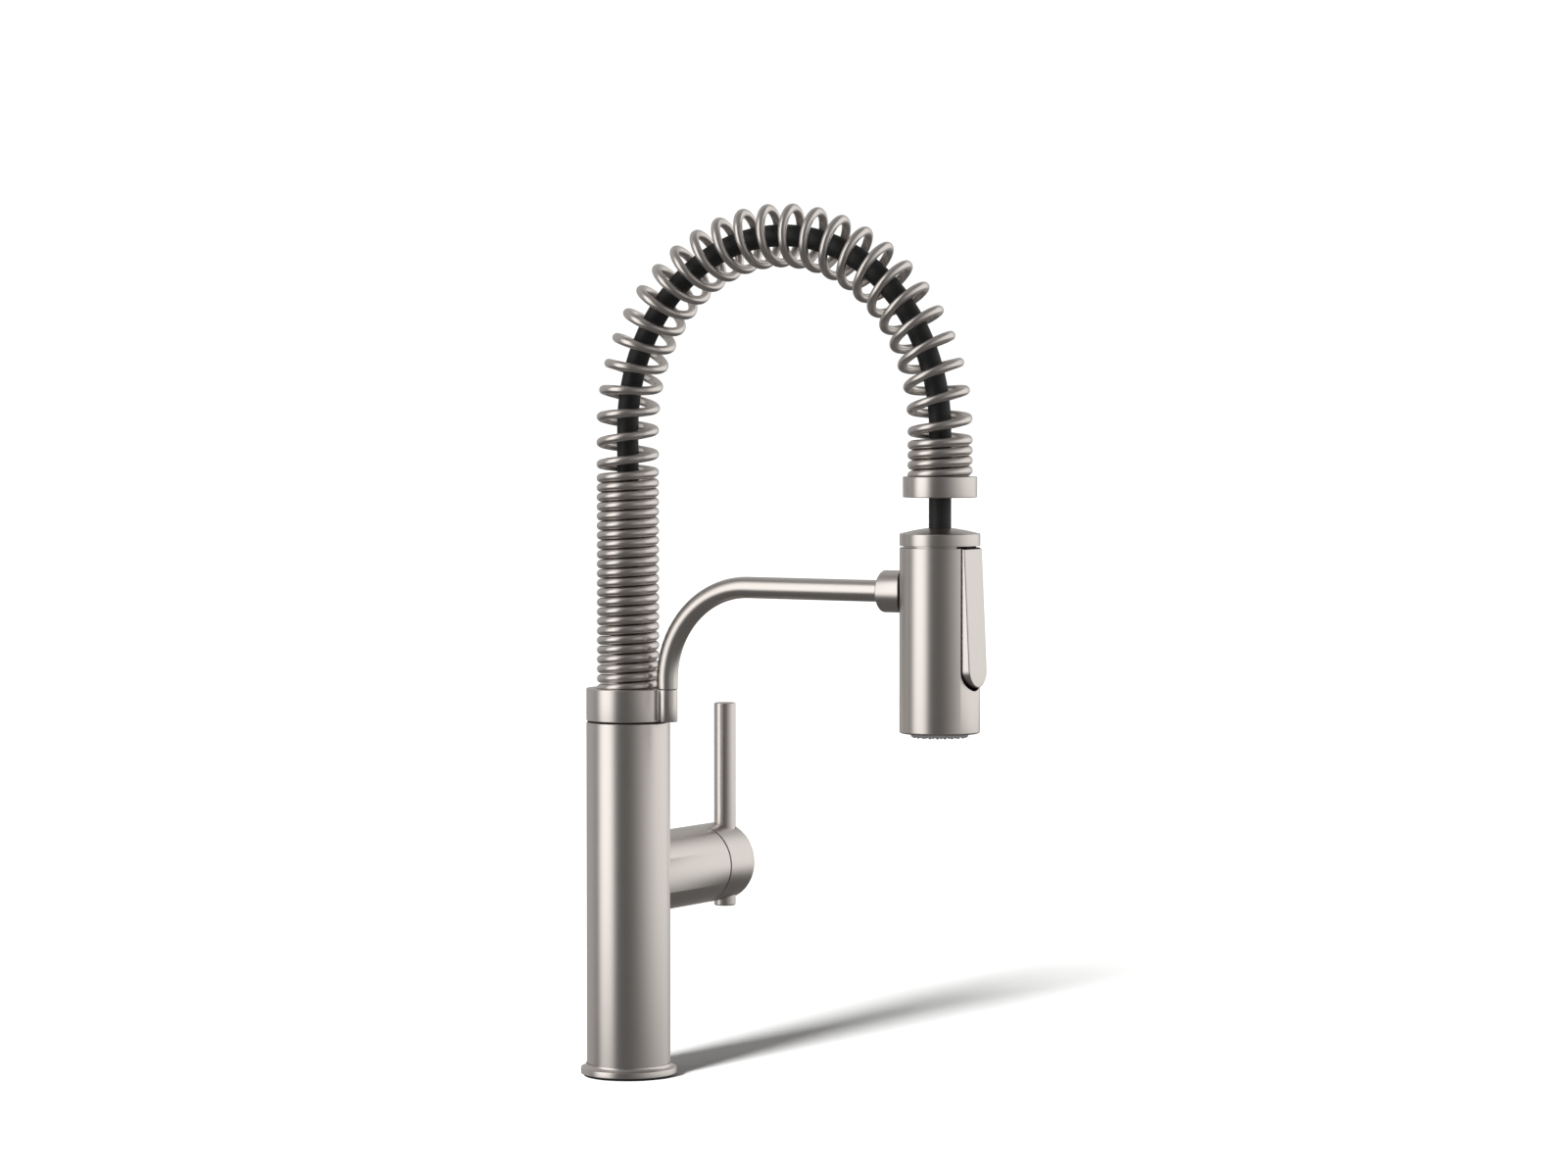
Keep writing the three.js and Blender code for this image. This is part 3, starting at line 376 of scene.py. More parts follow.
FINE, LONG = 2600.0, 45.0  # brush marks: across and along, per metre
DRAWN = 420.0  # the wire's fine grain, the same all ways
nickel_upright = satin_nickel("satin_nickel_brushed_round_z", (LONG, LONG, FINE))
nickel_hub = satin_nickel("satin_nickel_brushed_round_y", (LONG, FINE, LONG))
nickel_arm = satin_nickel("satin_nickel_brushed_round_x", (FINE, LONG, LONG))
nickel_flat = satin_nickel("satin_nickel_brushed_up_z", (LONG, FINE, LONG / 2))
nickel_wire = satin_nickel("satin_nickel_wire", (DRAWN, DRAWN, DRAWN))


def machined(name, dark, light, roughness):
    """Bare metal with turning marks across Z."""
    def paint(tree, place):
        marks = tree.noise(tree.stretch(place, (120.0, 120.0, 1900.0)), 1.0, 3.0, 0.6)
        stain = tree.noise(place, 90.0, 3.0)
        return {
            "Base Color": tree.tones(dark, light, marks * 0.6 + stain * 0.4),
            "Metallic": 1.0,
            "Roughness": roughness + marks * 0.12 + stain * 0.06,
            "Normal": tree.bump(marks, 0.3, 0.02),
        }
    return finish_of(name, paint)


def moulded(name, dark, light, roughness, grain=1500.0, depth=0.03):
    """Rubber or plastic with fine pores; grain per metre, depth in millimetres."""
    def paint(tree, place):
        pores = tree.noise(place, grain, 3.0, 0.6)
        cloud = tree.noise(place, 60.0, 2.0)
        return {
            "Base Color": tree.tones(dark, light, pores * 0.4 + cloud * 0.6),
            "Roughness": roughness + pores * 0.1 + cloud * 0.06,
            "Normal": tree.bump(pores, 0.35, depth),
        }
    return finish_of(name, paint)


def ceramic_finish(name):
    def paint(tree, place):
        specks = tree.noise(place, 2400.0, 2.0)
        return {
            "Base Color": tree.tones((0.80, 0.79, 0.76), (0.90, 0.89, 0.86), specks),
            "Roughness": 0.14 + specks * 0.1,
            "Coat Weight": 0.3,
        }
    return finish_of(name, paint)


# Each finish: its darkest colour, its lightest colour and its roughness.
machined_steel = machined("machined_steel", (0.48, 0.48, 0.49), (0.66, 0.66, 0.67), 0.26)
machined_brass = machined("machined_brass", (0.60, 0.44, 0.20), (0.80, 0.64, 0.34), 0.24)
magnet_face = machined("plated_magnet", (0.28, 0.28, 0.29), (0.42, 0.42, 0.43), 0.22)
black_rubber = moulded("matte_black_rubber", (0.010, 0.010, 0.010), (0.020, 0.020, 0.020), 0.62)
hose_cover = moulded("matte_black_hose", (0.0065, 0.0065, 0.0070), (0.0120, 0.0120, 0.0125), 0.50,
                     grain=900.0, depth=0.06)
black_plastic = moulded(
    "moulded_black_plastic", (0.012, 0.012, 0.013), (0.024, 0.024, 0.026), 0.42)
grey_plastic = moulded("moulded_grey_plastic", (0.16, 0.16, 0.165), (0.22, 0.22, 0.225), 0.40)
white_plastic = moulded("moulded_white_plastic", (0.74, 0.73, 0.70), (0.84, 0.83, 0.80), 0.38)
ceramic = ceramic_finish("lapped_ceramic")

SLOT_FINISH = {
    "satin_nickel": nickel_upright, "steel": machined_steel, "brass": machined_brass,
    "black_rubber": black_rubber, "hose_black": hose_cover, "black_plastic": black_plastic,
    "grey_plastic": grey_plastic, "white_plastic": white_plastic, "ceramic": ceramic,
}


def place_piece(piece, body, slot, *nodes, finish=None, angle=38):
    """Gives a piece its finish and lets it ride, in place of the CAD nodes that it stands for."""
    shade(piece, angle)
    piece.data.materials.clear()
    piece.data.materials.append(finish or SLOT_FINISH[slot])
    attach(piece, body)
    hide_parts(*nodes)
    return piece


# ---------- base and mounting hardware ----------
GASKET_BORE_R = 17.0
CLAMP_BORE_R = 16.2  # seal, washer and nut, round the thread
SHANK_R, SHANK_BORE_R = 15.9, 12.6
THREAD_PITCH, THREAD_DEPTH, THREAD_TOP = 1.5, 0.75, -26.0


def counter_gasket():
    box = at["base_gasket"]
    return tube("counter_gasket", box.x1, GASKET_BORE_R, box.z0, box.z1, edge=0.35)


def foot_ring():
    """A flange with a small rounded lip, and a hollow that runs up from it to the body."""
    box = at["base_ring"]
    inner = BODY_R + GAP
    lip, cove_foot = 0.35, box.z1 - 2.6
    depth = box.x1 - inner - GAP - lip
    cove = [(box.x1 - lip - depth * math.sin(a), box.z1 - (box.z1 - cove_foot) * math.cos(a))
            for a in [QUARTER * i / 10 for i in range(11)]]
    side = rounded([(inner, box.z0, 0.2), (box.x1, box.z0, 0.45), (box.x1, cove_foot, lip),
                    (box.x1 - 2, cove_foot, 0)], 5)[:-1]
    return turned("foot_ring", side + cove[1:] + [(inner, box.z1)], steps=160)


def shank():
    """The shank with a real helical thread below the counter."""
    box = at["threaded_shank"]
    flange = box.x1
    steps, per_turn = 72, 6
    rows_up = int((THREAD_TOP - 1 - box.z0) / THREAD_PITCH * per_turn)
    points, rows = [], []

    def ring(height, size):
        rows.append(list(range(len(points), len(points) + steps)))
        for i in range(steps):
            a = 2 * math.pi * i / steps
            r = size(height, a) if callable(size) else size
            points.append(Vector((r * math.cos(a), r * math.sin(a), height)))

    def ridge(height, a):
        phase = ((height - box.z0) / THREAD_PITCH - a / (2 * math.pi)) % 1.0
        fade = min(1.0, (THREAD_TOP - height) / 3)
        return SHANK_R - THREAD_DEPTH * fade * (1 - abs(2 * phase - 1)) ** 0.8

    ring(box.z0, SHANK_BORE_R)
    ring(box.z0, SHANK_R - THREAD_DEPTH - 0.4)
    for k in range(rows_up):
        ring(box.z0 + 1 + THREAD_PITCH * k / per_turn, ridge)
    ring(THREAD_TOP, SHANK_R)
    ring(FOOT_Z + 1, SHANK_R)
    for across, up in rounded([(0, FOOT_Z + 1, 0), (flange, FOOT_Z + 1, 0.4),
                               (flange, box.z1, 0.6), (0, box.z1, 0)], 3)[1:-1]:
        ring(up, across)
    ring(box.z1, SHANK_BORE_R + 0.5)
    ring(box.z1 - 0.5, SHANK_BORE_R)
    return new_piece("mounting_shank", points, stitch(rows, wrap=True))


def hex_nut():
    """A hexagon whose corners are turned off above and below, with a countersunk bore."""
    box = at["mounting_nut"]
    corner, chamfer = max(box.x1, box.y1), 1.9
    first = 0 if box.x1 >= box.y1 else 30
    corners = [math.radians(first + 60 * i) for i in range(6)]
    layers = [[(corner * math.cos(a), corner * math.sin(a), z) for a in corners]
              for z in (box.z0, box.z1)]
    nut = prism("mounting_hex_nut", layers)
    flats = corner * math.cos(math.pi / 6)
    crown = turned("crown", [
        (0, box.z0), (flats - 0.4, box.z0), (corner + 0.2, box.z0 + chamfer),
        (corner + 0.2, box.z1 - chamfer), (flats - 0.4, box.z1), (0, box.z1)], steps=96)
    common(nut, crown)
    hole = turned("hole", [
        (0, box.z0 - PAST), (CLAMP_BORE_R + 2, box.z0 - PAST), (CLAMP_BORE_R, box.z0 + PAST),
        (CLAMP_BORE_R, box.z1 - PAST), (CLAMP_BORE_R + 2, box.z1 + PAST), (0, box.z1 + PAST)],
        steps=96)
    return soften(cut(nut, hole), 0.25)


place_piece(counter_gasket(), "faucet_body", "black_rubber", "base_gasket")
place_piece(foot_ring(), "faucet_body", "satin_nickel", "base_ring")
place_piece(shank(), "faucet_body", "brass", "threaded_shank", angle=60)
seal, washer = at["clamp_seal"], at["clamp_washer"]
place_piece(tube("under_counter_seal", seal.x1, CLAMP_BORE_R, seal.z0, seal.z1, edge=0.6),
            "faucet_body", "black_rubber", "clamp_seal")
place_piece(tube("under_counter_washer", washer.x1, CLAMP_BORE_R, washer.z0, washer.z1, edge=0.4),
            "faucet_body", "steel", "clamp_washer")
place_piece(hex_nut(), "faucet_body", "brass", "mounting_nut")


# ---------- body tube, hub and handle ----------
TUBE_WALL = 2.0
BORE_R = BODY_R - TUBE_WALL
HUB_BORE_R = HUB_R - TUBE_WALL
HUB_END = 84.5  # where the cap's rim meets the hub, from the body's middle
PARTING = 0.75  # the open joint between hub and cap
CAP_SPHERE = math.hypot(HUB_R, HUB_END - PIVOT_Y)
DOME_R = CAP_SPHERE - PARTING
DOME_WALL = 2
STEM_OPENING_R = 15.4
STEM_SOCKET_R = 4.6
SCREW_HOLE_R = 1.8


def on_dome(radius, sphere=DOME_R):
    """How far along the hub a point of the round parting surface lies."""
    return PIVOT_Y + math.sqrt(sphere ** 2 - radius ** 2)


def body_column():
    """The upright tube and the hub tube, brazed into one, both hollow."""
    upright = turned("body_column", rounded([
        (0, FOOT_Z, 0), (BODY_R, FOOT_Z, 0.2), (BODY_R, BODY_TOP, 0.5), (0, BODY_TOP, 0)]),
        steps=192)
    rim = on_dome(HUB_BORE_R)
    hub = turned("hub", rounded([
        (0, 0, 0), (HUB_R, 0, 0), (HUB_R, on_dome(HUB_R), 0.3), (HUB_BORE_R, rim, 0),
        (0, rim, 0)]), HUB_AXIS, 192)
    join(upright, hub)
    bore = rod("bore", BORE_R, FOOT_Z - PAST, BODY_TOP + PAST, steps=127)
    hub_bore = rod("hub_bore", HUB_BORE_R, 0, rim + PAST, HUB_AXIS, 127)
    return cut(upright, bore, hub_bore)


def dome():
    """The round cover under the cap, with an opening that the stem moves in."""
    outer = HUB_BORE_R - GAP
    inner = outer - DOME_WALL
    skirt = at["hub_dome"].y0

    def radii(start, end):
        return [start + (end - start) * i / 10 for i in range(11)]

    outside = [(r, on_dome(r)) for r in radii(outer, STEM_OPENING_R)]
    inside = [(r, on_dome(r, DOME_R - DOME_WALL)) for r in radii(STEM_OPENING_R, inner)]
    outline = [(inner, skirt), (outer, skirt)] + outside + inside
    return turned("hub_dome_cover", outline, HUB_AXIS, 96)


def cap_of_handle():
    """The end cap, hollowed to the round parting surface, bored for the lever and its stem."""
    end = at["handle_cap"].y1
    through = 30  # longer than the cap's radius
    slope = [(r, on_dome(r, CAP_SPHERE)) for r in [HUB_R * i / 24 for i in range(24)]]
    rim = rounded([slope[-1] + (0,), (HUB_R, on_dome(HUB_R, CAP_SPHERE), 0.3),
                   (HUB_R, end, 3.0), (0, end, 0)], 10)[1:-1]
    cap = turned("handle_hub_cap", slope + rim + [(0, end)], HUB_AXIS, 192)
    lever = at["lever_rod"]
    hole = rod("hole", lever.x1 - lever.x + GAP, HUB_Z - through, HUB_Z + through,
               moved(lever.x, lever.y, 0), 95)
    stem = at["lever_stem"]
    socket = rod("socket", STEM_SOCKET_R, PIVOT_Y, stem.y1 + GAP, HUB_AXIS, 47)
    screw = at["handle_set_screw"]
    screw_hole = rod("screw_hole", SCREW_HOLE_R, HUB_Z - through, HUB_Z, moved(0, screw.y, 0), 31)
    return cut(cap, socket, hole, screw_hole)


def lever():
    box = at["lever_rod"]
    radius, edge = (box.x1 - box.x0) / 2, 0.9
    corners = [(0, box.z0, 0), (radius, box.z0, edge), (radius, box.z1, edge), (0, box.z1, 0)]
    return turned("lever_handle_rod", rounded(corners, 6), moved(box.x, box.y, 0), 96)


def grub_screw(name, node, axis):
    """A hex-socket grub screw. axis is "z" or "y"; its socket faces down, or outward along +y."""
    box = at[node]
    radius = (box.x1 - box.x0) / 2
    if axis == "z":
        length, place = box.z1 - box.z0, moved(box.x, box.y, box.z0)
    else:
        length = box.y1 - box.y0
        place = moved(box.x, box.y1, box.z) @ Matrix.Rotation(QUARTER, 4, "X")
    lead, point = 0.25, 0.7
    body = turned(name, [(0, 0), (radius - lead, 0), (radius, lead), (radius, length - point),
                         (radius - point, length), (0, length)], place, 32)
    depth, key = min(1.6, length - 0.3), 0.75
    corners = [math.pi / 3 * i for i in range(6)]
    hexagon = [[(key * math.cos(a), key * math.sin(a), z) for a in corners]
               for z in (-0.5, depth)]
    return cut(body, prism("socket", hexagon, place))


place_piece(body_column(), "faucet_body", "satin_nickel", "body_tube")
place_piece(dome(), "faucet_body", "satin_nickel", "hub_dome", finish=nickel_hub)
place_piece(cap_of_handle(), "lever", "satin_nickel", "handle_cap", finish=nickel_hub)
place_piece(lever(), "lever", "satin_nickel", "lever_rod")
place_piece(grub_screw("handle_grub_screw", "handle_set_screw", "z"), "lever", "steel",
            "handle_set_screw")


# ---------- swivel and collar ----------
NECK_R, NECK_BORE_R = 14.5, 12.2  # the collar's neck turns in the body
BUSH_WALL = 2.9
CLIP_GROOVE = 0.9
SEAT_R = 20.7  # bore that the spring stands in
SEAT_Z = COLLAR_TOP - 4.3
SOCKET_R = 6.6  # round the arm's foot
STUD_HOLE_R = 4.5
FILLET = 1.2
WEB_ROOT = (24, 5)  # where the web starts, inside the collar's wall
SHY = 0.02  # keeps joined faces apart, so that the union is clean


def web_outline(inset):
    """The outline that runs from the collar round the arm socket and back, with its two fillets."""
    big, small, fillet = BODY_R - SHY - inset, SOCKET_R - inset, FILLET + inset
    x = ((big + fillet) ** 2 - (small + fillet) ** 2 + ARM_X ** 2) / (2 * ARM_X)
    y = math.sqrt((big + fillet) ** 2 - x ** 2)
    start = math.degrees(math.atan2(-y, -x))
    end = math.degrees(math.atan2(-y, ARM_X - x))
    hollow = arc(x, y, fillet, start, end, 14)
    turn = math.degrees(math.atan2(hollow[-1][1], hollow[-1][0] - ARM_X))
    nose = arc(ARM_X, 0, small, -turn, turn, 40)
    across, up = WEB_ROOT
    mirrored = [(px, -py) for px, py in hollow]
    return [(across, -up)] + mirrored + nose[1:-1] + hollow[::-1] + [(across, up)]


def collar():
    """The turning collar: neck with a clip groove, spring seat, and the arm's socket on a web."""
    foot = at["spout_collar"].z0
    clip = at["retaining_clip"]
    groove_r, groove_low, groove_high = NECK_R - CLIP_GROOVE, clip.z0 - GAP, clip.z1 + GAP
    shell = turned("spout_swivel_collar", rounded([
        (NECK_BORE_R, foot, 0.3), (NECK_R, foot, 0.4), (NECK_R, groove_low, 0),
        (groove_r, groove_low, 0), (groove_r, groove_high, 0), (NECK_R, groove_high, 0),
        (NECK_R, COLLAR_Z, 0), (BODY_R, COLLAR_Z, 0.5), (BODY_R, COLLAR_TOP, 0.5),
        (SEAT_R, COLLAR_TOP, 0.35), (SEAT_R, SEAT_Z, 0.3), (NECK_BORE_R, SEAT_Z, 0.3)], 5),
        steps=192)
    edge, low, high = 0.45, COLLAR_Z + SHY, COLLAR_TOP - SHY
    web = prism("web", [[(x, y, z) for x, y in web_outline(inset)] for inset, z in (
        (edge, low), (edge * 0.3, low + edge * 0.3), (0, low + edge),
        (0, high - edge), (edge * 0.3, high - edge * 0.3), (edge, high))])
    join(shell, web)
    stud = at["arm_stud"]
    stud_hole = rod("stud_hole", STUD_HOLE_R, stud.z0 - GAP, COLLAR_TOP + PAST,
                    moved(ARM_X, 0, 0), 47)
    screw = at["arm_set_screw"]
    screw_hole = rod("screw_hole", SCREW_HOLE_R, 0, SOCKET_R + PAST,
                     moved(ARM_X, 0, screw.z) @ ALONG_Y, 31)
    return cut(shell, stud_hole, screw_hole)


def bush():
    box = at["swivel_bush"]
    inner = NECK_R + GAP
    outer = inner + BUSH_WALL
    low = BODY_TOP + GAP
    return turned("swivel_bearing_bush", rounded([
        (inner, box.z0, 0.3), (outer, box.z0, 0.3), (outer, low, 0), (box.x1, low, 0.15),
        (box.x1, box.z1, 0.15), (inner, box.z1, 0.2)], 3))


place_piece(bush(), "spout", "black_plastic", "swivel_bush")
place_piece(collar(), "spout", "satin_nickel", "spout_collar")
place_piece(grub_screw("arm_grub_screw", "arm_set_screw", "y"), "spout", "steel", "arm_set_screw")


# ---------- spring and hose ----------
WIRE_R, COIL_R = 2.93, 17.3
SPRING_Z = SEAT_Z + WIRE_R + GAP
SPRING_END_Z = RING_TOP - 5.7
LEG_TOP = RING_TOP + 28.5  # where the straight legs end and the arch begins
ARCH_RISE = at["spout_spring"].z1 - COIL_R - WIRE_R - LEG_TOP
TIGHT_PITCH, END_PITCH = 6.15, 6.2
TIGHT_TOP = BODY_TOP + 156.9  # where the close-wound stretch starts to open
OPENING_TURNS, LOOSE_TURNS, CLOSING_TURNS, END_TURNS = 1.85, 24.15, 1.05, 4.33
START_TURN = math.radians(152.8)
HOSE_PLAY = 0.4
WIRE_TIP = ((0.2, 0.15), (0.35, 0.5))  # the ground end: how far on, how much thinner


def arch_point(turn):
    """A point of the spout's arch; turn runs from 0 on the body side to pi over the sprayhead."""
    half = REACH / 2
    return Vector((half - half * math.cos(turn), 0, LEG_TOP + ARCH_RISE * math.sin(turn)))


class SpoutLine:
    """The spout's centre line by distance: up the body leg, over the arch, down to the end ring."""

    def __init__(self, bottom, end, steps=4000):
        arch = [arch_point(math.pi * i / steps) for i in range(steps + 1)]
        self.points = [Vector((0, 0, bottom))] + arch + [Vector((REACH, 0, end))]
        self.reached = [0.0]
        for a, b in zip(self.points, self.points[1:]):
            self.reached.append(self.reached[-1] + (b - a).length)
        self.length = self.reached[-1]
        self.last = 0

    def at(self, distance):
        distance = min(max(distance, 0.0), self.length)
        i = self.last if self.reached[self.last] <= distance else 0
        while i < len(self.points) - 2 and self.reached[i + 1] < distance:
            i += 1
        self.last = i
        a, b = self.points[i], self.points[i + 1]
        share = (distance - self.reached[i]) / (b - a).length
        return a.lerp(b, share), (b - a).normalized()


def coil_spring():
    """One round wire: close-wound up the body leg, open over the arch, close again at its end."""
    line = SpoutLine(SPRING_Z, SPRING_END_Z)
    tight = TIGHT_TOP - SPRING_Z
    close = tight + END_TURNS * END_PITCH + (OPENING_TURNS * TIGHT_PITCH
                                             + CLOSING_TURNS * END_PITCH) / 2
    loose = (line.length - close) / (LOOSE_TURNS + (OPENING_TURNS + CLOSING_TURNS) / 2)
    stages = [  # turns, first pitch, last pitch
        (tight / TIGHT_PITCH, TIGHT_PITCH, TIGHT_PITCH), (OPENING_TURNS, TIGHT_PITCH, loose),
        (LOOSE_TURNS, loose, loose), (CLOSING_TURNS, loose, END_PITCH),
        (END_TURNS, END_PITCH, END_PITCH),
    ]
    turns = sum(stage[0] for stage in stages)

    def distance(n):
        travelled = 0.0
        for count, first, last in stages:
            part = min(max(n, 0.0), count)
            travelled += part * first + (last - first) * part ** 2 / (2 * count)
            n -= count
        return travelled

    per_turn, sides = 44, 16
    steps = round(turns * per_turn)
    centres, outward = [], []
    for i in range(steps + 1):
        n = turns * i / steps
        middle, direction = line.at(distance(n))
        a = START_TURN + 2 * math.pi * n
        level = Vector((direction.z, 0, -direction.x))
        out = math.cos(a) * level + math.sin(a) * Vector((0, 1, 0))
        centres.append(middle + COIL_R * out)
        outward.append(out)
    stations = []
    for i, centre in enumerate(centres):
        heading = (centres[min(i + 1, steps)] - centres[max(i - 1, 0)]).normalized()
        stations.append((centre, heading, outward[i], WIRE_R))
    for i, tip in ((0, -1), (-1, 1)):
        centre, heading, out, _ = stations[i]
        blunt = [(centre + heading * tip * on, heading, out, WIRE_R - less)
                 for on, less in WIRE_TIP]
        stations = blunt[::-1] + stations if i == 0 else stations + blunt
    return swept("coil_spring", stations, sides)


def hose_stations(points):
    """Stations for a hose through points in the plane of the spout."""
    sideways = Vector((0, 1, 0))
    stations = []
    for i, point in enumerate(points):
        heading = (points[min(i + 1, len(points) - 1)] - points[max(i - 1, 0)]).normalized()
        stations.append((point, heading, sideways, HOSE_R))
    return stations


def hose_arch():
    """The hose from its foot in the collar to just above the pulled length."""
    box = at["spout_hose"]
    foot, end = box.z0, at["hose_drop"].z1 + GAP
    up = [Vector((0, 0, foot + (LEG_TOP - foot) * i / 24)) for i in range(24)]
    arch = [arch_point(math.pi * i / 96) for i in range(97)]
    down = [Vector((REACH, 0, LEG_TOP + (end - LEG_TOP) * i / 8)) for i in range(1, 9)]
    return swept("hose_over_arch", hose_stations(up + arch + down), 40)


def pulled_hose():
    box = at["hose_drop"]
    points = [Vector((REACH, 0, box.z1 + (box.z0 - box.z1) * i / 60)) for i in range(61)]
    return swept("hose_to_sprayhead", hose_stations(points), 40)


def end_ring():
    box = at["spring_end_ring"]
    bore = HOSE_R + 3.35  # room for the guide bush
    seat = SPRING_END_Z - WIRE_R - GAP
    radius = (box.x1 - box.x0) / 2
    return turned("spring_end_collar", rounded([
        (bore, box.z0, 0.4), (radius, box.z0, 0.55), (radius, box.z1, 0.55),
        (SEAT_R, box.z1, 0.35), (SEAT_R, seat, 0.3), (bore, seat, 0.3)], 5), HEAD_AXIS, 160)


place_piece(coil_spring(), "spout", "satin_nickel", "spout_spring", finish=nickel_wire, angle=60)
place_piece(hose_arch(), "spout", "hose_black", "spout_hose")
place_piece(end_ring(), "spout", "satin_nickel", "spring_end_ring")
guide = at["hose_guide_bush"]
place_piece(tube("hose_guide", (guide.x1 - guide.x0) / 2, HOSE_R + HOSE_PLAY, guide.z0, guide.z1,
                 HEAD_AXIS, 96, 0.5), "spout", "black_plastic", "hose_guide_bush")

drop = pulled_hose()
shade(drop)
drop.data.materials.append(hose_cover)
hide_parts("hose_drop")
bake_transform(drop)


# ---------- dock arm ----------
ARM_BEND = 61.0
ARM_BORE_R = 4.6
ARM_EDGE = 0.35
DOCK_R = at["dock_holder"].y1
SADDLE_R = HEAD_R + 1.4  # the dock's concave face, round the sprayhead axis
DOCK_BACK = REACH - SADDLE_R - 13
DOCK_LIP = 2.6  # the flare from the holder down to the arm
ARM_IN_DOCK = 4
MAGNET_R, MAGNET_H = 8.0, 5.5


def dock_arm_tube():
    """The arm: up out of the collar's socket, round one bend and level into the holder."""
    foot = at["arm_tube"].z0
    bend = []
    for i in range(33):
        a = QUARTER * i / 32
        bend.append(Vector((ARM_X + ARM_BEND * (1 - math.cos(a)), 0,
                            ARM_Z - ARM_BEND * (1 - math.sin(a)))))
    points = [Vector((ARM_X, 0, foot)), Vector((ARM_X, 0, foot + ARM_EDGE))] + bend
    points += [Vector((DOCK_BACK + ARM_IN_DOCK - 0.4, 0, ARM_Z)),
               Vector((DOCK_BACK + ARM_IN_DOCK, 0, ARM_Z))]
    stations = []
    for i, point in enumerate(points):
        heading = (points[min(i + 1, len(points) - 1)] - points[max(i - 1, 0)]).normalized()
        at_end = i in (0, len(points) - 1)
        stations.append((point, heading, Vector((0, 1, 0)), ARM_R - ARM_EDGE * at_end))
    return swept("dock_arm_tube", stations, 64, ARM_BORE_R)


def holder():
    """The dock's barrel, with a pocket for the magnet and a face hollowed to the sprayhead."""
    bore = ARM_R + GAP
    throat, face = DOCK_BACK - DOCK_LIP, REACH - SADDLE_R
    flare = arc(bore + 0.3 + DOCK_LIP, throat, DOCK_LIP, 180, 90, 10)
    edge = rounded([(bore + 3.3, DOCK_BACK, 0), (DOCK_R, DOCK_BACK, 0.8), (DOCK_R, REACH, 0)],
                   5)[1:-1]
    outline = [(0, throat)] + flare + edge + [(DOCK_R, REACH), (0, REACH)]
    barrel = turned("dock_holder_barrel", outline, ARM_AXIS, 128)
    arm_bore = rod("arm_bore", bore, throat - PAST, DOCK_BACK + ARM_IN_DOCK + GAP, ARM_AXIS, 95)
    magnet_bore = rod("magnet_bore", MAGNET_R + GAP, face - MAGNET_H - 1, REACH + PAST,
                      ARM_AXIS, 63)
    saddle = rod("saddle", SADDLE_R, ARM_Z - DOCK_R - PAST, ARM_Z + DOCK_R + PAST, HEAD_AXIS, 255)
    return cut(barrel, arm_bore, magnet_bore, saddle)


def facing_patch(name, radius, inner, outer):
    """A round patch of a curved wall about the sprayhead axis, on the dock's side."""
    wall = tube(name, outer, inner, ARM_Z - radius - PAST, ARM_Z + radius + PAST, HEAD_AXIS,
                256, 0)
    patch = rod("patch", radius, REACH - outer - PAST, REACH, ARM_AXIS, 96)
    return common(wall, patch)


place_piece(dock_arm_tube(), "spout", "satin_nickel", "arm_tube", finish=nickel_arm)
place_piece(holder(), "spout", "satin_nickel", "dock_holder", finish=nickel_arm)
place_piece(facing_patch("dock_rubber_pad", DOCK_R - 0.7, HEAD_R + GAP, SADDLE_R - GAP), "spout",
            "black_rubber", "dock_pad")
magnet = at["dock_magnet"]
place_piece(rod("dock_magnet_disc", MAGNET_R, magnet.x0, magnet.x1, ARM_AXIS, 64, 0.4), "spout",
            "steel", "dock_magnet", finish=magnet_face)


# ---------- sprayhead ----------
HEAD_BORE_R = HEAD_R - 2.3
CAP_BOTTOM = SHELL_TOP + 1.1
CAP_SIDE = 7.5  # the cap's straight side, below its shoulder
SLOT_HALF, SLOT_BOTTOM = 12.4, SHELL_BOTTOM + 26.7
SLOT_DEPTH = 12
PADDLE_BOTTOM, PADDLE_TOP = SLOT_BOTTOM + 2.3, SHELL_TOP - 0.4
PADDLE_HALF, PADDLE_T, PADDLE_SKIRT = SLOT_HALF - 1.2, 4.0, 7.0
PADDLE_WALL, PADDLE_EDGE = 1.6, 0.7
KNUCKLE_R, PIN_HOLE_R = 3.0, 1.5
FACE_X_TOP, FACE_X_BOTTOM = HEAD_R - 1.3, HEAD_R + 2.8  # the paddle leans out downward
PIN = at["paddle_pin"]


def stadium(half, bottom, top, inset, steps=32):
    """A strip's outline as (sideways, up) points: square top, round bottom end."""
    r = half - inset
    return [(r, top - inset), (-r, top - inset)] + arc(0, bottom + half, r, 180, 360, steps)


def shell_of_head():
    """The tube of the head, with the paddle's slot open at the top."""
    wall = turned("sprayhead_shell", rounded([
        (HEAD_BORE_R, SHELL_BOTTOM, 0.2), (HEAD_R, SHELL_BOTTOM, 1.3), (HEAD_R, SHELL_TOP, 0.35),
        (HEAD_BORE_R, SHELL_TOP, 0.2)], 8), HEAD_AXIS, 192)
    layers = [[(x, y, z) for y, z in stadium(SLOT_HALF, SLOT_BOTTOM, SHELL_TOP + 2, 0)]
              for x in (HEAD_R - SLOT_DEPTH, HEAD_R + 2)]
    cut(wall, prism("slot", layers, HEAD_AXIS))
    return soften(wall, 0.22, angle=50)


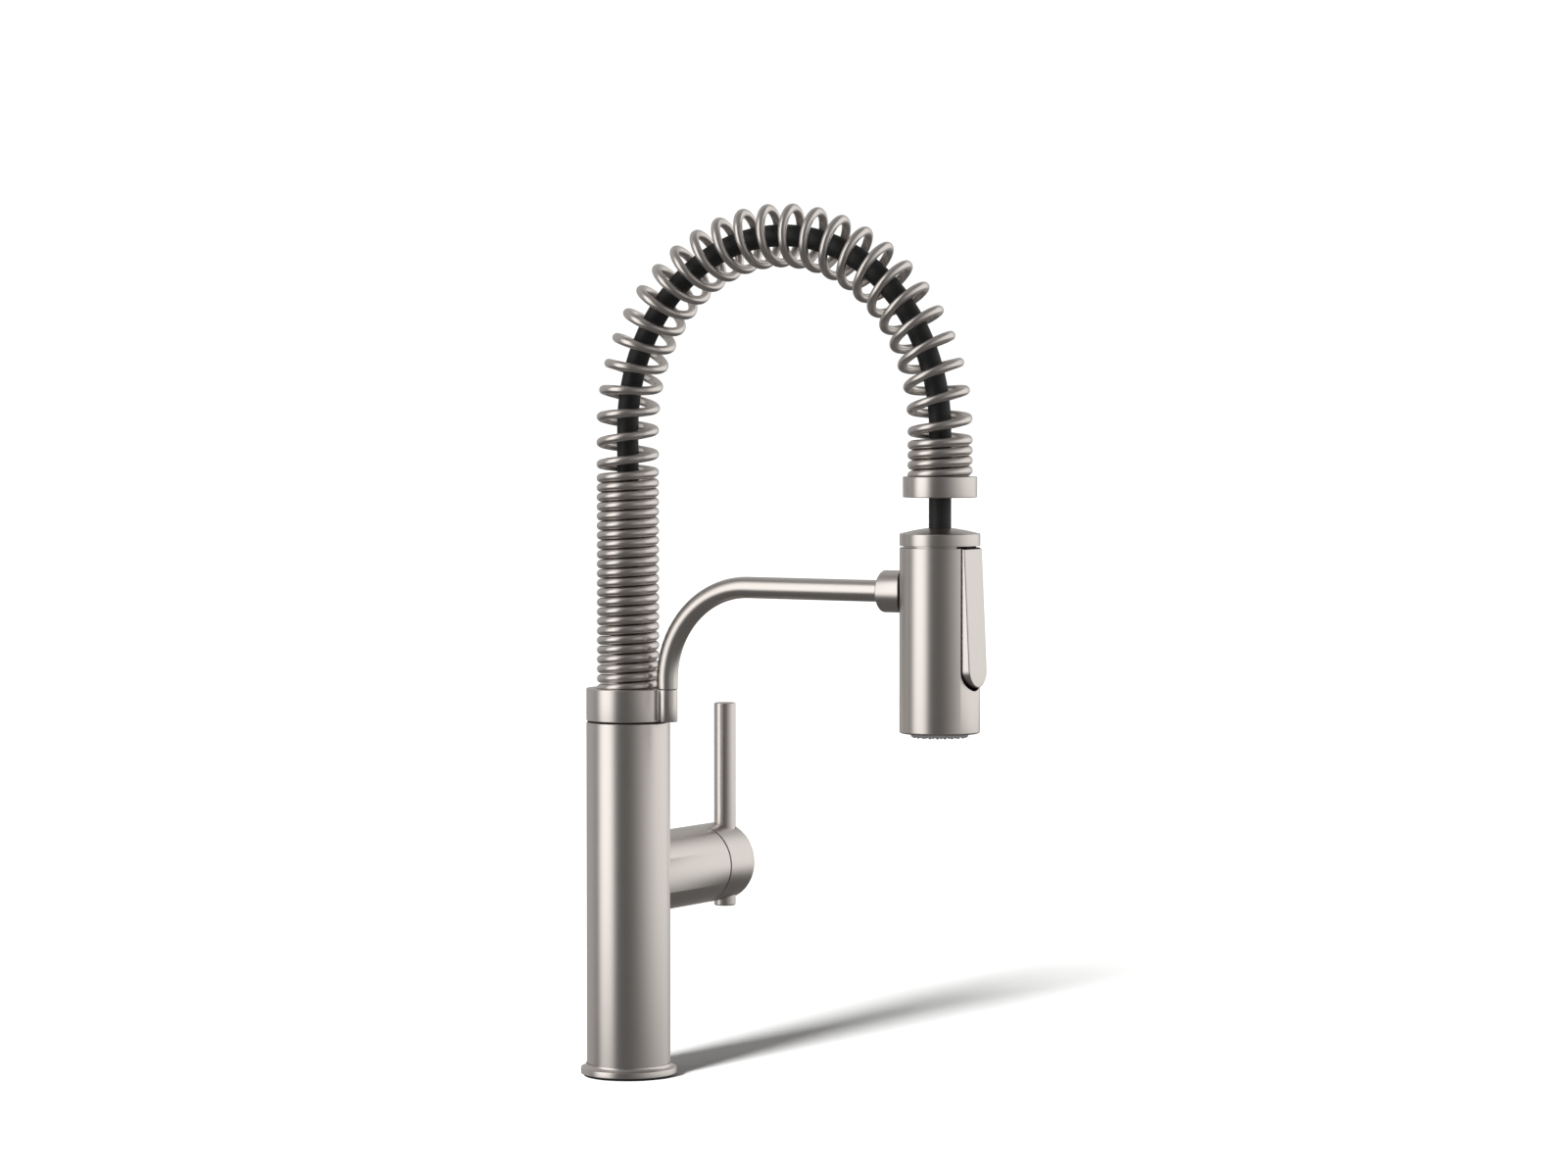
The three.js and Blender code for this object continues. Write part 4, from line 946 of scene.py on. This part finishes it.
def cap_of_head():
    """The head's top: a spigot inside the shell, a straight side and a low crown to the hose."""
    box = at["head_cap"]
    spigot = HEAD_BORE_R - GAP
    spigot_bore, neck = 17, 9.6
    side = CAP_BOTTOM + CAP_SIDE
    hole = HOSE_R + HOSE_PLAY
    room = box.z1 - 6.4
    cap = turned("sprayhead_top_cap", rounded([
        (spigot_bore, box.z0, 0.3), (spigot, box.z0, 0.4), (spigot, CAP_BOTTOM, 0),
        (HEAD_R, CAP_BOTTOM, 0.3), (HEAD_R, side, 0.7), (16, box.z1 - 1.2, 20),
        (hole + 1.6, box.z1, 0.9), (hole, box.z1, 0.4), (hole, room, 0.2), (neck, room, 0),
        (neck, CAP_BOTTOM, 0), (spigot_bore, CAP_BOTTOM, 0)], 8), HEAD_AXIS, 160)
    half, x0, x1 = SLOT_HALF, PIN.x - REACH - 4, HEAD_R + 1
    ends = [[(x0, -half, z), (x1, -half, z), (x1, half, z), (x0, half, z)]
            for z in (CAP_BOTTOM - 6, CAP_BOTTOM)]
    return cut(cap, prism("paddle_room", ends, HEAD_AXIS))


def trigger_paddle():
    """A leaning plate with rounded edges and a skirt behind it, hinged on a knuckle at its top."""
    length = PADDLE_TOP - PADDLE_BOTTOM
    lean = math.atan2(FACE_X_BOTTOM - FACE_X_TOP, length)
    layers = []
    for in_front, turns in ((False, range(0, 6)), (True, range(5, -1, -1))):
        for k in turns:
            a = QUARTER * k / 5
            inset = PADDLE_EDGE * (1 - math.sin(a))
            depth = PADDLE_EDGE * (1 - math.cos(a))
            layers.append([(-depth if in_front else depth - PADDLE_SKIRT, y, z)
                           for y, z in stadium(PADDLE_HALF, 0, length, inset)])
    place = HEAD_AXIS @ moved(FACE_X_BOTTOM, 0, PADDLE_BOTTOM) @ Matrix.Rotation(-lean, 4, "Y")
    paddle = prism("spray_trigger_paddle", layers, place)
    hollow = [[(x, y, z) for y, z in stadium(PADDLE_HALF, 0, length + 4, PADDLE_WALL)]
              for x in (-PADDLE_SKIRT - 1, -PADDLE_T)]
    cut(paddle, prism("hollow", hollow, place))
    pin_x = PIN.x - REACH
    knuckle_axis = moved(PIN.x, 0, PIN.z) @ ALONG_Y
    knuckle = rod("knuckle", KNUCKLE_R, -PADDLE_HALF, PADDLE_HALF, knuckle_axis, 48)
    face_x = FACE_X_BOTTOM - (PIN.z - PADDLE_BOTTOM) * math.tan(lean) - PADDLE_T + 1
    ends = [[(pin_x, -PADDLE_HALF, z), (face_x, -PADDLE_HALF, z), (face_x, PADDLE_HALF, z),
             (pin_x, PADDLE_HALF, z)] for z in (PIN.z - 2.8, PIN.z + 2.8)]
    hole = rod("hole", PIN_HOLE_R, -PADDLE_HALF - PAST, PADDLE_HALF + PAST, knuckle_axis, 32)
    return cut(join(paddle, prism("web", ends, HEAD_AXIS), knuckle), hole)


FACE = at["spray_face"]
FACE_R = HEAD_R - 6.8
NOZZLE_RINGS = ((9.4, 10, 0.0), (12.9, 16, 0.5), (16.3, 22, 0.0))  # radius, count, first in steps
NUB_R, BOSS_R = 0.9, 1.5
BOSS_H = 0.75
AERATOR_R = 6.0
AERATOR_RINGS = ((1.55, 6), (3.1, 12), (4.6, 18))  # radius, cells
CELL_R = 0.55


def nozzle_places():
    for radius, count, first in NOZZLE_RINGS:
        for i in range(count):
            a = 2 * math.pi * (i + first) / count
            yield REACH + radius * math.cos(a), radius * math.sin(a)


def face_plate():
    """The spray face with a raised collar round each nozzle."""
    low, high = FACE.z0, FACE.z1
    plate = turned("spray_face_plate", rounded([
        (AERATOR_R + GAP, low, 0.3), (FACE_R, low, 0.8), (FACE_R, high, 0.2),
        (AERATOR_R + GAP, high, 0.2)], 4), HEAD_AXIS, 128)
    boss = rounded([(0, low - BOSS_H, 0), (BOSS_R, low - BOSS_H, 0.3), (BOSS_R, low + 0.5, 0),
                    (0, low + 0.5, 0)], 3)
    collars = [turned("collar", boss, moved(x, y, 0), 20) for x, y in nozzle_places()]
    holes = [rod("hole", NUB_R + 0.1, low - 2, high + PAST, moved(x, y, 0), 16)
             for x, y in nozzle_places()]
    join(plate, merge("collars", collars))
    return cut(plate, merge("holes", holes))


def merge(name, parts):
    """One object from several that don't touch."""
    form = bmesh.new()
    for part in parts:
        form.from_mesh(part.data)
        bpy.data.objects.remove(part)
    mesh = bpy.data.meshes.new(name)
    form.to_mesh(mesh)
    form.free()
    whole = bpy.data.objects.new(name, mesh)
    bpy.context.scene.collection.objects.link(whole)
    return whole


def nozzle_rubber():
    """One soft pad behind the face, with a hollow-tipped nub through each hole."""
    low, tip, pad_h = FACE.z1 + GAP, at["nozzle_pad"].z0, 1.6
    pad = tube("nozzle_rubber_pad", FACE_R - GAP, AERATOR_R + GAP, low, low + pad_h, HEAD_AXIS,
               96, 0.2)
    nub = [(0, tip + 0.5), (0.3, tip + 0.4), (0.38, tip), (NUB_R - 0.3, tip),
           (NUB_R - 0.08, tip + 0.25), (NUB_R, FACE.z0), (NUB_R, low + 0.5), (0, low + 0.5)]
    nubs = [turned("nub", nub, moved(x, y, 0), 16) for x, y in nozzle_places()]
    return join(pad, merge("nubs", nubs))


def aerator_disc():
    """The stream insert: a disc with a honeycomb of small cells in its lower face."""
    box = at["aerator"]
    disc = rod("aerator_disc", AERATOR_R, box.z0, box.z1, HEAD_AXIS, 64, 0.3)
    cells_top = box.z0 + 2.2
    places = [(0.0, 0.0)]
    for ring, count in AERATOR_RINGS:
        turns = [2 * math.pi * i / count for i in range(count)]
        places += [(ring * math.cos(a), ring * math.sin(a)) for a in turns]
    cells = [rod("cell", CELL_R, box.z0 - PAST, cells_top, moved(REACH + x, y, 0), 6)
             for x, y in places]
    return cut(disc, merge("cells", cells))


def ring_of_face():
    inner, outer, lip = FACE_R + GAP, HEAD_BORE_R - GAP, 1.5
    box, ledge = at["face_ring"], at["aerator"].z1 + 2
    return turned("face_retaining_ring", rounded([
        (inner, box.z0, 0.5), (outer, box.z0, 0.4), (outer, box.z1, 0.2), (inner - lip, box.z1, 0),
        (inner - lip, ledge, 0), (inner, ledge, 0)], 4), HEAD_AXIS, 128)


place_piece(cap_of_head(), "sprayhead", "satin_nickel", "head_cap")
place_piece(shell_of_head(), "sprayhead", "satin_nickel", "head_shell")
place_piece(trigger_paddle(), "paddle", "satin_nickel", "spray_paddle", finish=nickel_flat)
place_piece(ring_of_face(), "sprayhead", "black_plastic", "face_ring")
place_piece(face_plate(), "sprayhead", "grey_plastic", "spray_face")
place_piece(nozzle_rubber(), "sprayhead", "black_rubber", "nozzle_pad")
place_piece(aerator_disc(), "sprayhead", "white_plastic", "aerator")


# ---------- working parts inside ----------
INSIDE = {
    "brass": ("valve_body", "cold_inlet", "hot_inlet", "cartridge_nut", "riser_tube",
              "bearing_plate", "hose_swivel_ball", "swivel_nut"),
    "steel": ("lever_stem", "stem_pin", "retaining_clip", "hose_foot_ferrule", "arm_stud",
              "hose_crimp", "head_magnet_plate", "paddle_pin"),
    "white_plastic": ("cartridge_body", "cartridge_turret", "disc_carrier", "diverter_plunger"),
    "grey_plastic": ("check_valve",),
    "black_plastic": ("head_core",),
    "black_rubber": ("riser_o_ring", "swivel_seal"),
    "ceramic": ("fixed_ceramic_disc", "moving_ceramic_disc"),
}
for slot, nodes in INSIDE.items():
    for node in nodes:
        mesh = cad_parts[node].data
        mesh.materials.clear()
        mesh.materials.append(SLOT_FINISH[slot])


# ---------- counter, light and camera ----------
COUNTER_HOLE_R = 17.5


def counter():
    """A pale counter with the faucet's hole in it."""
    def paint(tree, place):
        cloud = tree.noise(place, 3.0, 3.0)
        return {"Base Color": tree.tones((0.41, 0.41, 0.41), (0.43, 0.43, 0.43), cloud),
                "Roughness": 0.9, "Specular IOR Level": 0.0}

    steps = 64
    radii = (COUNTER_HOLE_R, 60, 400, 3000, 60000)
    turns = [2 * math.pi * i / steps for i in range(steps)]
    points = [Vector((r * math.cos(a), r * math.sin(a), 0)) for r in radii for a in turns]
    rows = [list(range(k * steps, (k + 1) * steps)) for k in range(len(radii))]
    top = new_piece("counter_top", points, stitch(rows, wrap=False))
    top.data.materials.append(finish_of("pale_counter", paint))
    top.visible_glossy = False
    return top


CAMERA_AT = Vector((1.60899, -2.4471, 0.44569))
CAMERA_TURN = (math.radians(87.448), 0.0, math.radians(31.3594))


def camera():
    data = bpy.data.cameras.new("studio_camera")
    data.lens, data.sensor_width = 104.45, 36.0
    data.clip_start, data.clip_end = 0.05, 200.0
    holder = bpy.data.objects.new("studio_camera", data)
    holder.location, holder.rotation_euler = CAMERA_AT, CAMERA_TURN
    bpy.context.scene.collection.objects.link(holder)
    bpy.context.scene.camera = holder


def studio_walls():
    """Soft light walls round the faucet: bright front left, long on the right, dim behind."""
    world = bpy.data.worlds.new("studio")
    world.use_nodes = True
    tree = Tree(world.node_tree)
    heading = tree.add("TexCoord", outlet=0)
    front = (math.sin(CAMERA_TURN[2]), -math.cos(CAMERA_TURN[2]), 0.0)
    right = (math.cos(CAMERA_TURN[2]), math.sin(CAMERA_TURN[2]), 0.0)

    def along(direction):
        return tree.add("VectorMath", {"operation": "DOT_PRODUCT"}, {0: heading, 1: direction},
                        outlet=1)

    def between(value, low, high, soft):
        rise = tree.step(value, low - soft, low + soft)
        return rise * (1 - tree.step(value, high - soft, high + soft))

    # Directions in degrees: round the faucet from the camera's side, and up from level.
    degrees = 180 / math.pi
    round_angle = tree.maths("ARCTAN2", along(right), along(front)) * degrees
    height = tree.maths("ARCSINE", along((0.0, 0.0, 1.0))) * degrees

    key = between(round_angle, -84, -40, 9) * between(height, -17, 54, 10)
    side = tree.step(round_angle, -4, 100) * (1 - tree.step(round_angle, 128, 168))
    side = side * between(height, -15, 42, 12)
    back = (1 - between(round_angle, -100, 155, 12)) * between(height, -20, 60, 12)
    sky = tree.step(height, 40, 75)
    glow = 0.13 + key * 1.54 + side * 0.98 + back * 0.36 + sky * 0.16
    walls = tree.add("Background", {}, {"Color": (1.0, 0.985, 0.965, 1), "Strength": glow})
    plain = tree.add("Background", {}, {"Color": (1, 1, 1, 1), "Strength": 1.05})
    seen = tree.add("LightPath", outlet=0)
    mixed = tree.add("MixShader", {}, {0: seen, 1: walls, 2: plain})
    tree.add("OutputWorld", {}, {"Surface": mixed})
    bpy.context.scene.world = world


STRIP_ELEVATIONS, STRIP_POWER, STRIP_WIDTH = (17, 25), 10.5, 13  # degrees, power, degrees
STRIP_BLOCKERS = ("foot_ring", "body_column", "spout_swivel_collar", "handle_hub_cap",
                  "lever_handle_rod")


def tall_strip_light(top):
    """Two soft suns in front of the faucet, one over the other, for the shadow on the counter.

    They light only the counter, and only the pieces named above hold their light back.
    """
    receivers = bpy.data.collections.new("lit_by_strip")
    receivers.objects.link(top)
    blockers = bpy.data.collections.new("shading_the_strip")
    for name in STRIP_BLOCKERS:
        blockers.objects.link(bpy.data.objects[name])
    for elevation in STRIP_ELEVATIONS:
        data = bpy.data.lights.new(f"strip_{elevation}", "SUN")
        data.energy, data.angle = STRIP_POWER, math.radians(STRIP_WIDTH)
        lamp = bpy.data.objects.new(f"strip_{elevation}", data)
        lamp.rotation_euler = (math.radians(90 - elevation), 0, 0)
        lamp.visible_glossy = False
        lamp.light_linking.receiver_collection = receivers
        lamp.light_linking.blocker_collection = blockers
        bpy.context.scene.collection.objects.link(lamp)


studio_walls()
tall_strip_light(counter())
camera()
bpy.context.scene.view_settings.view_transform = "Standard"
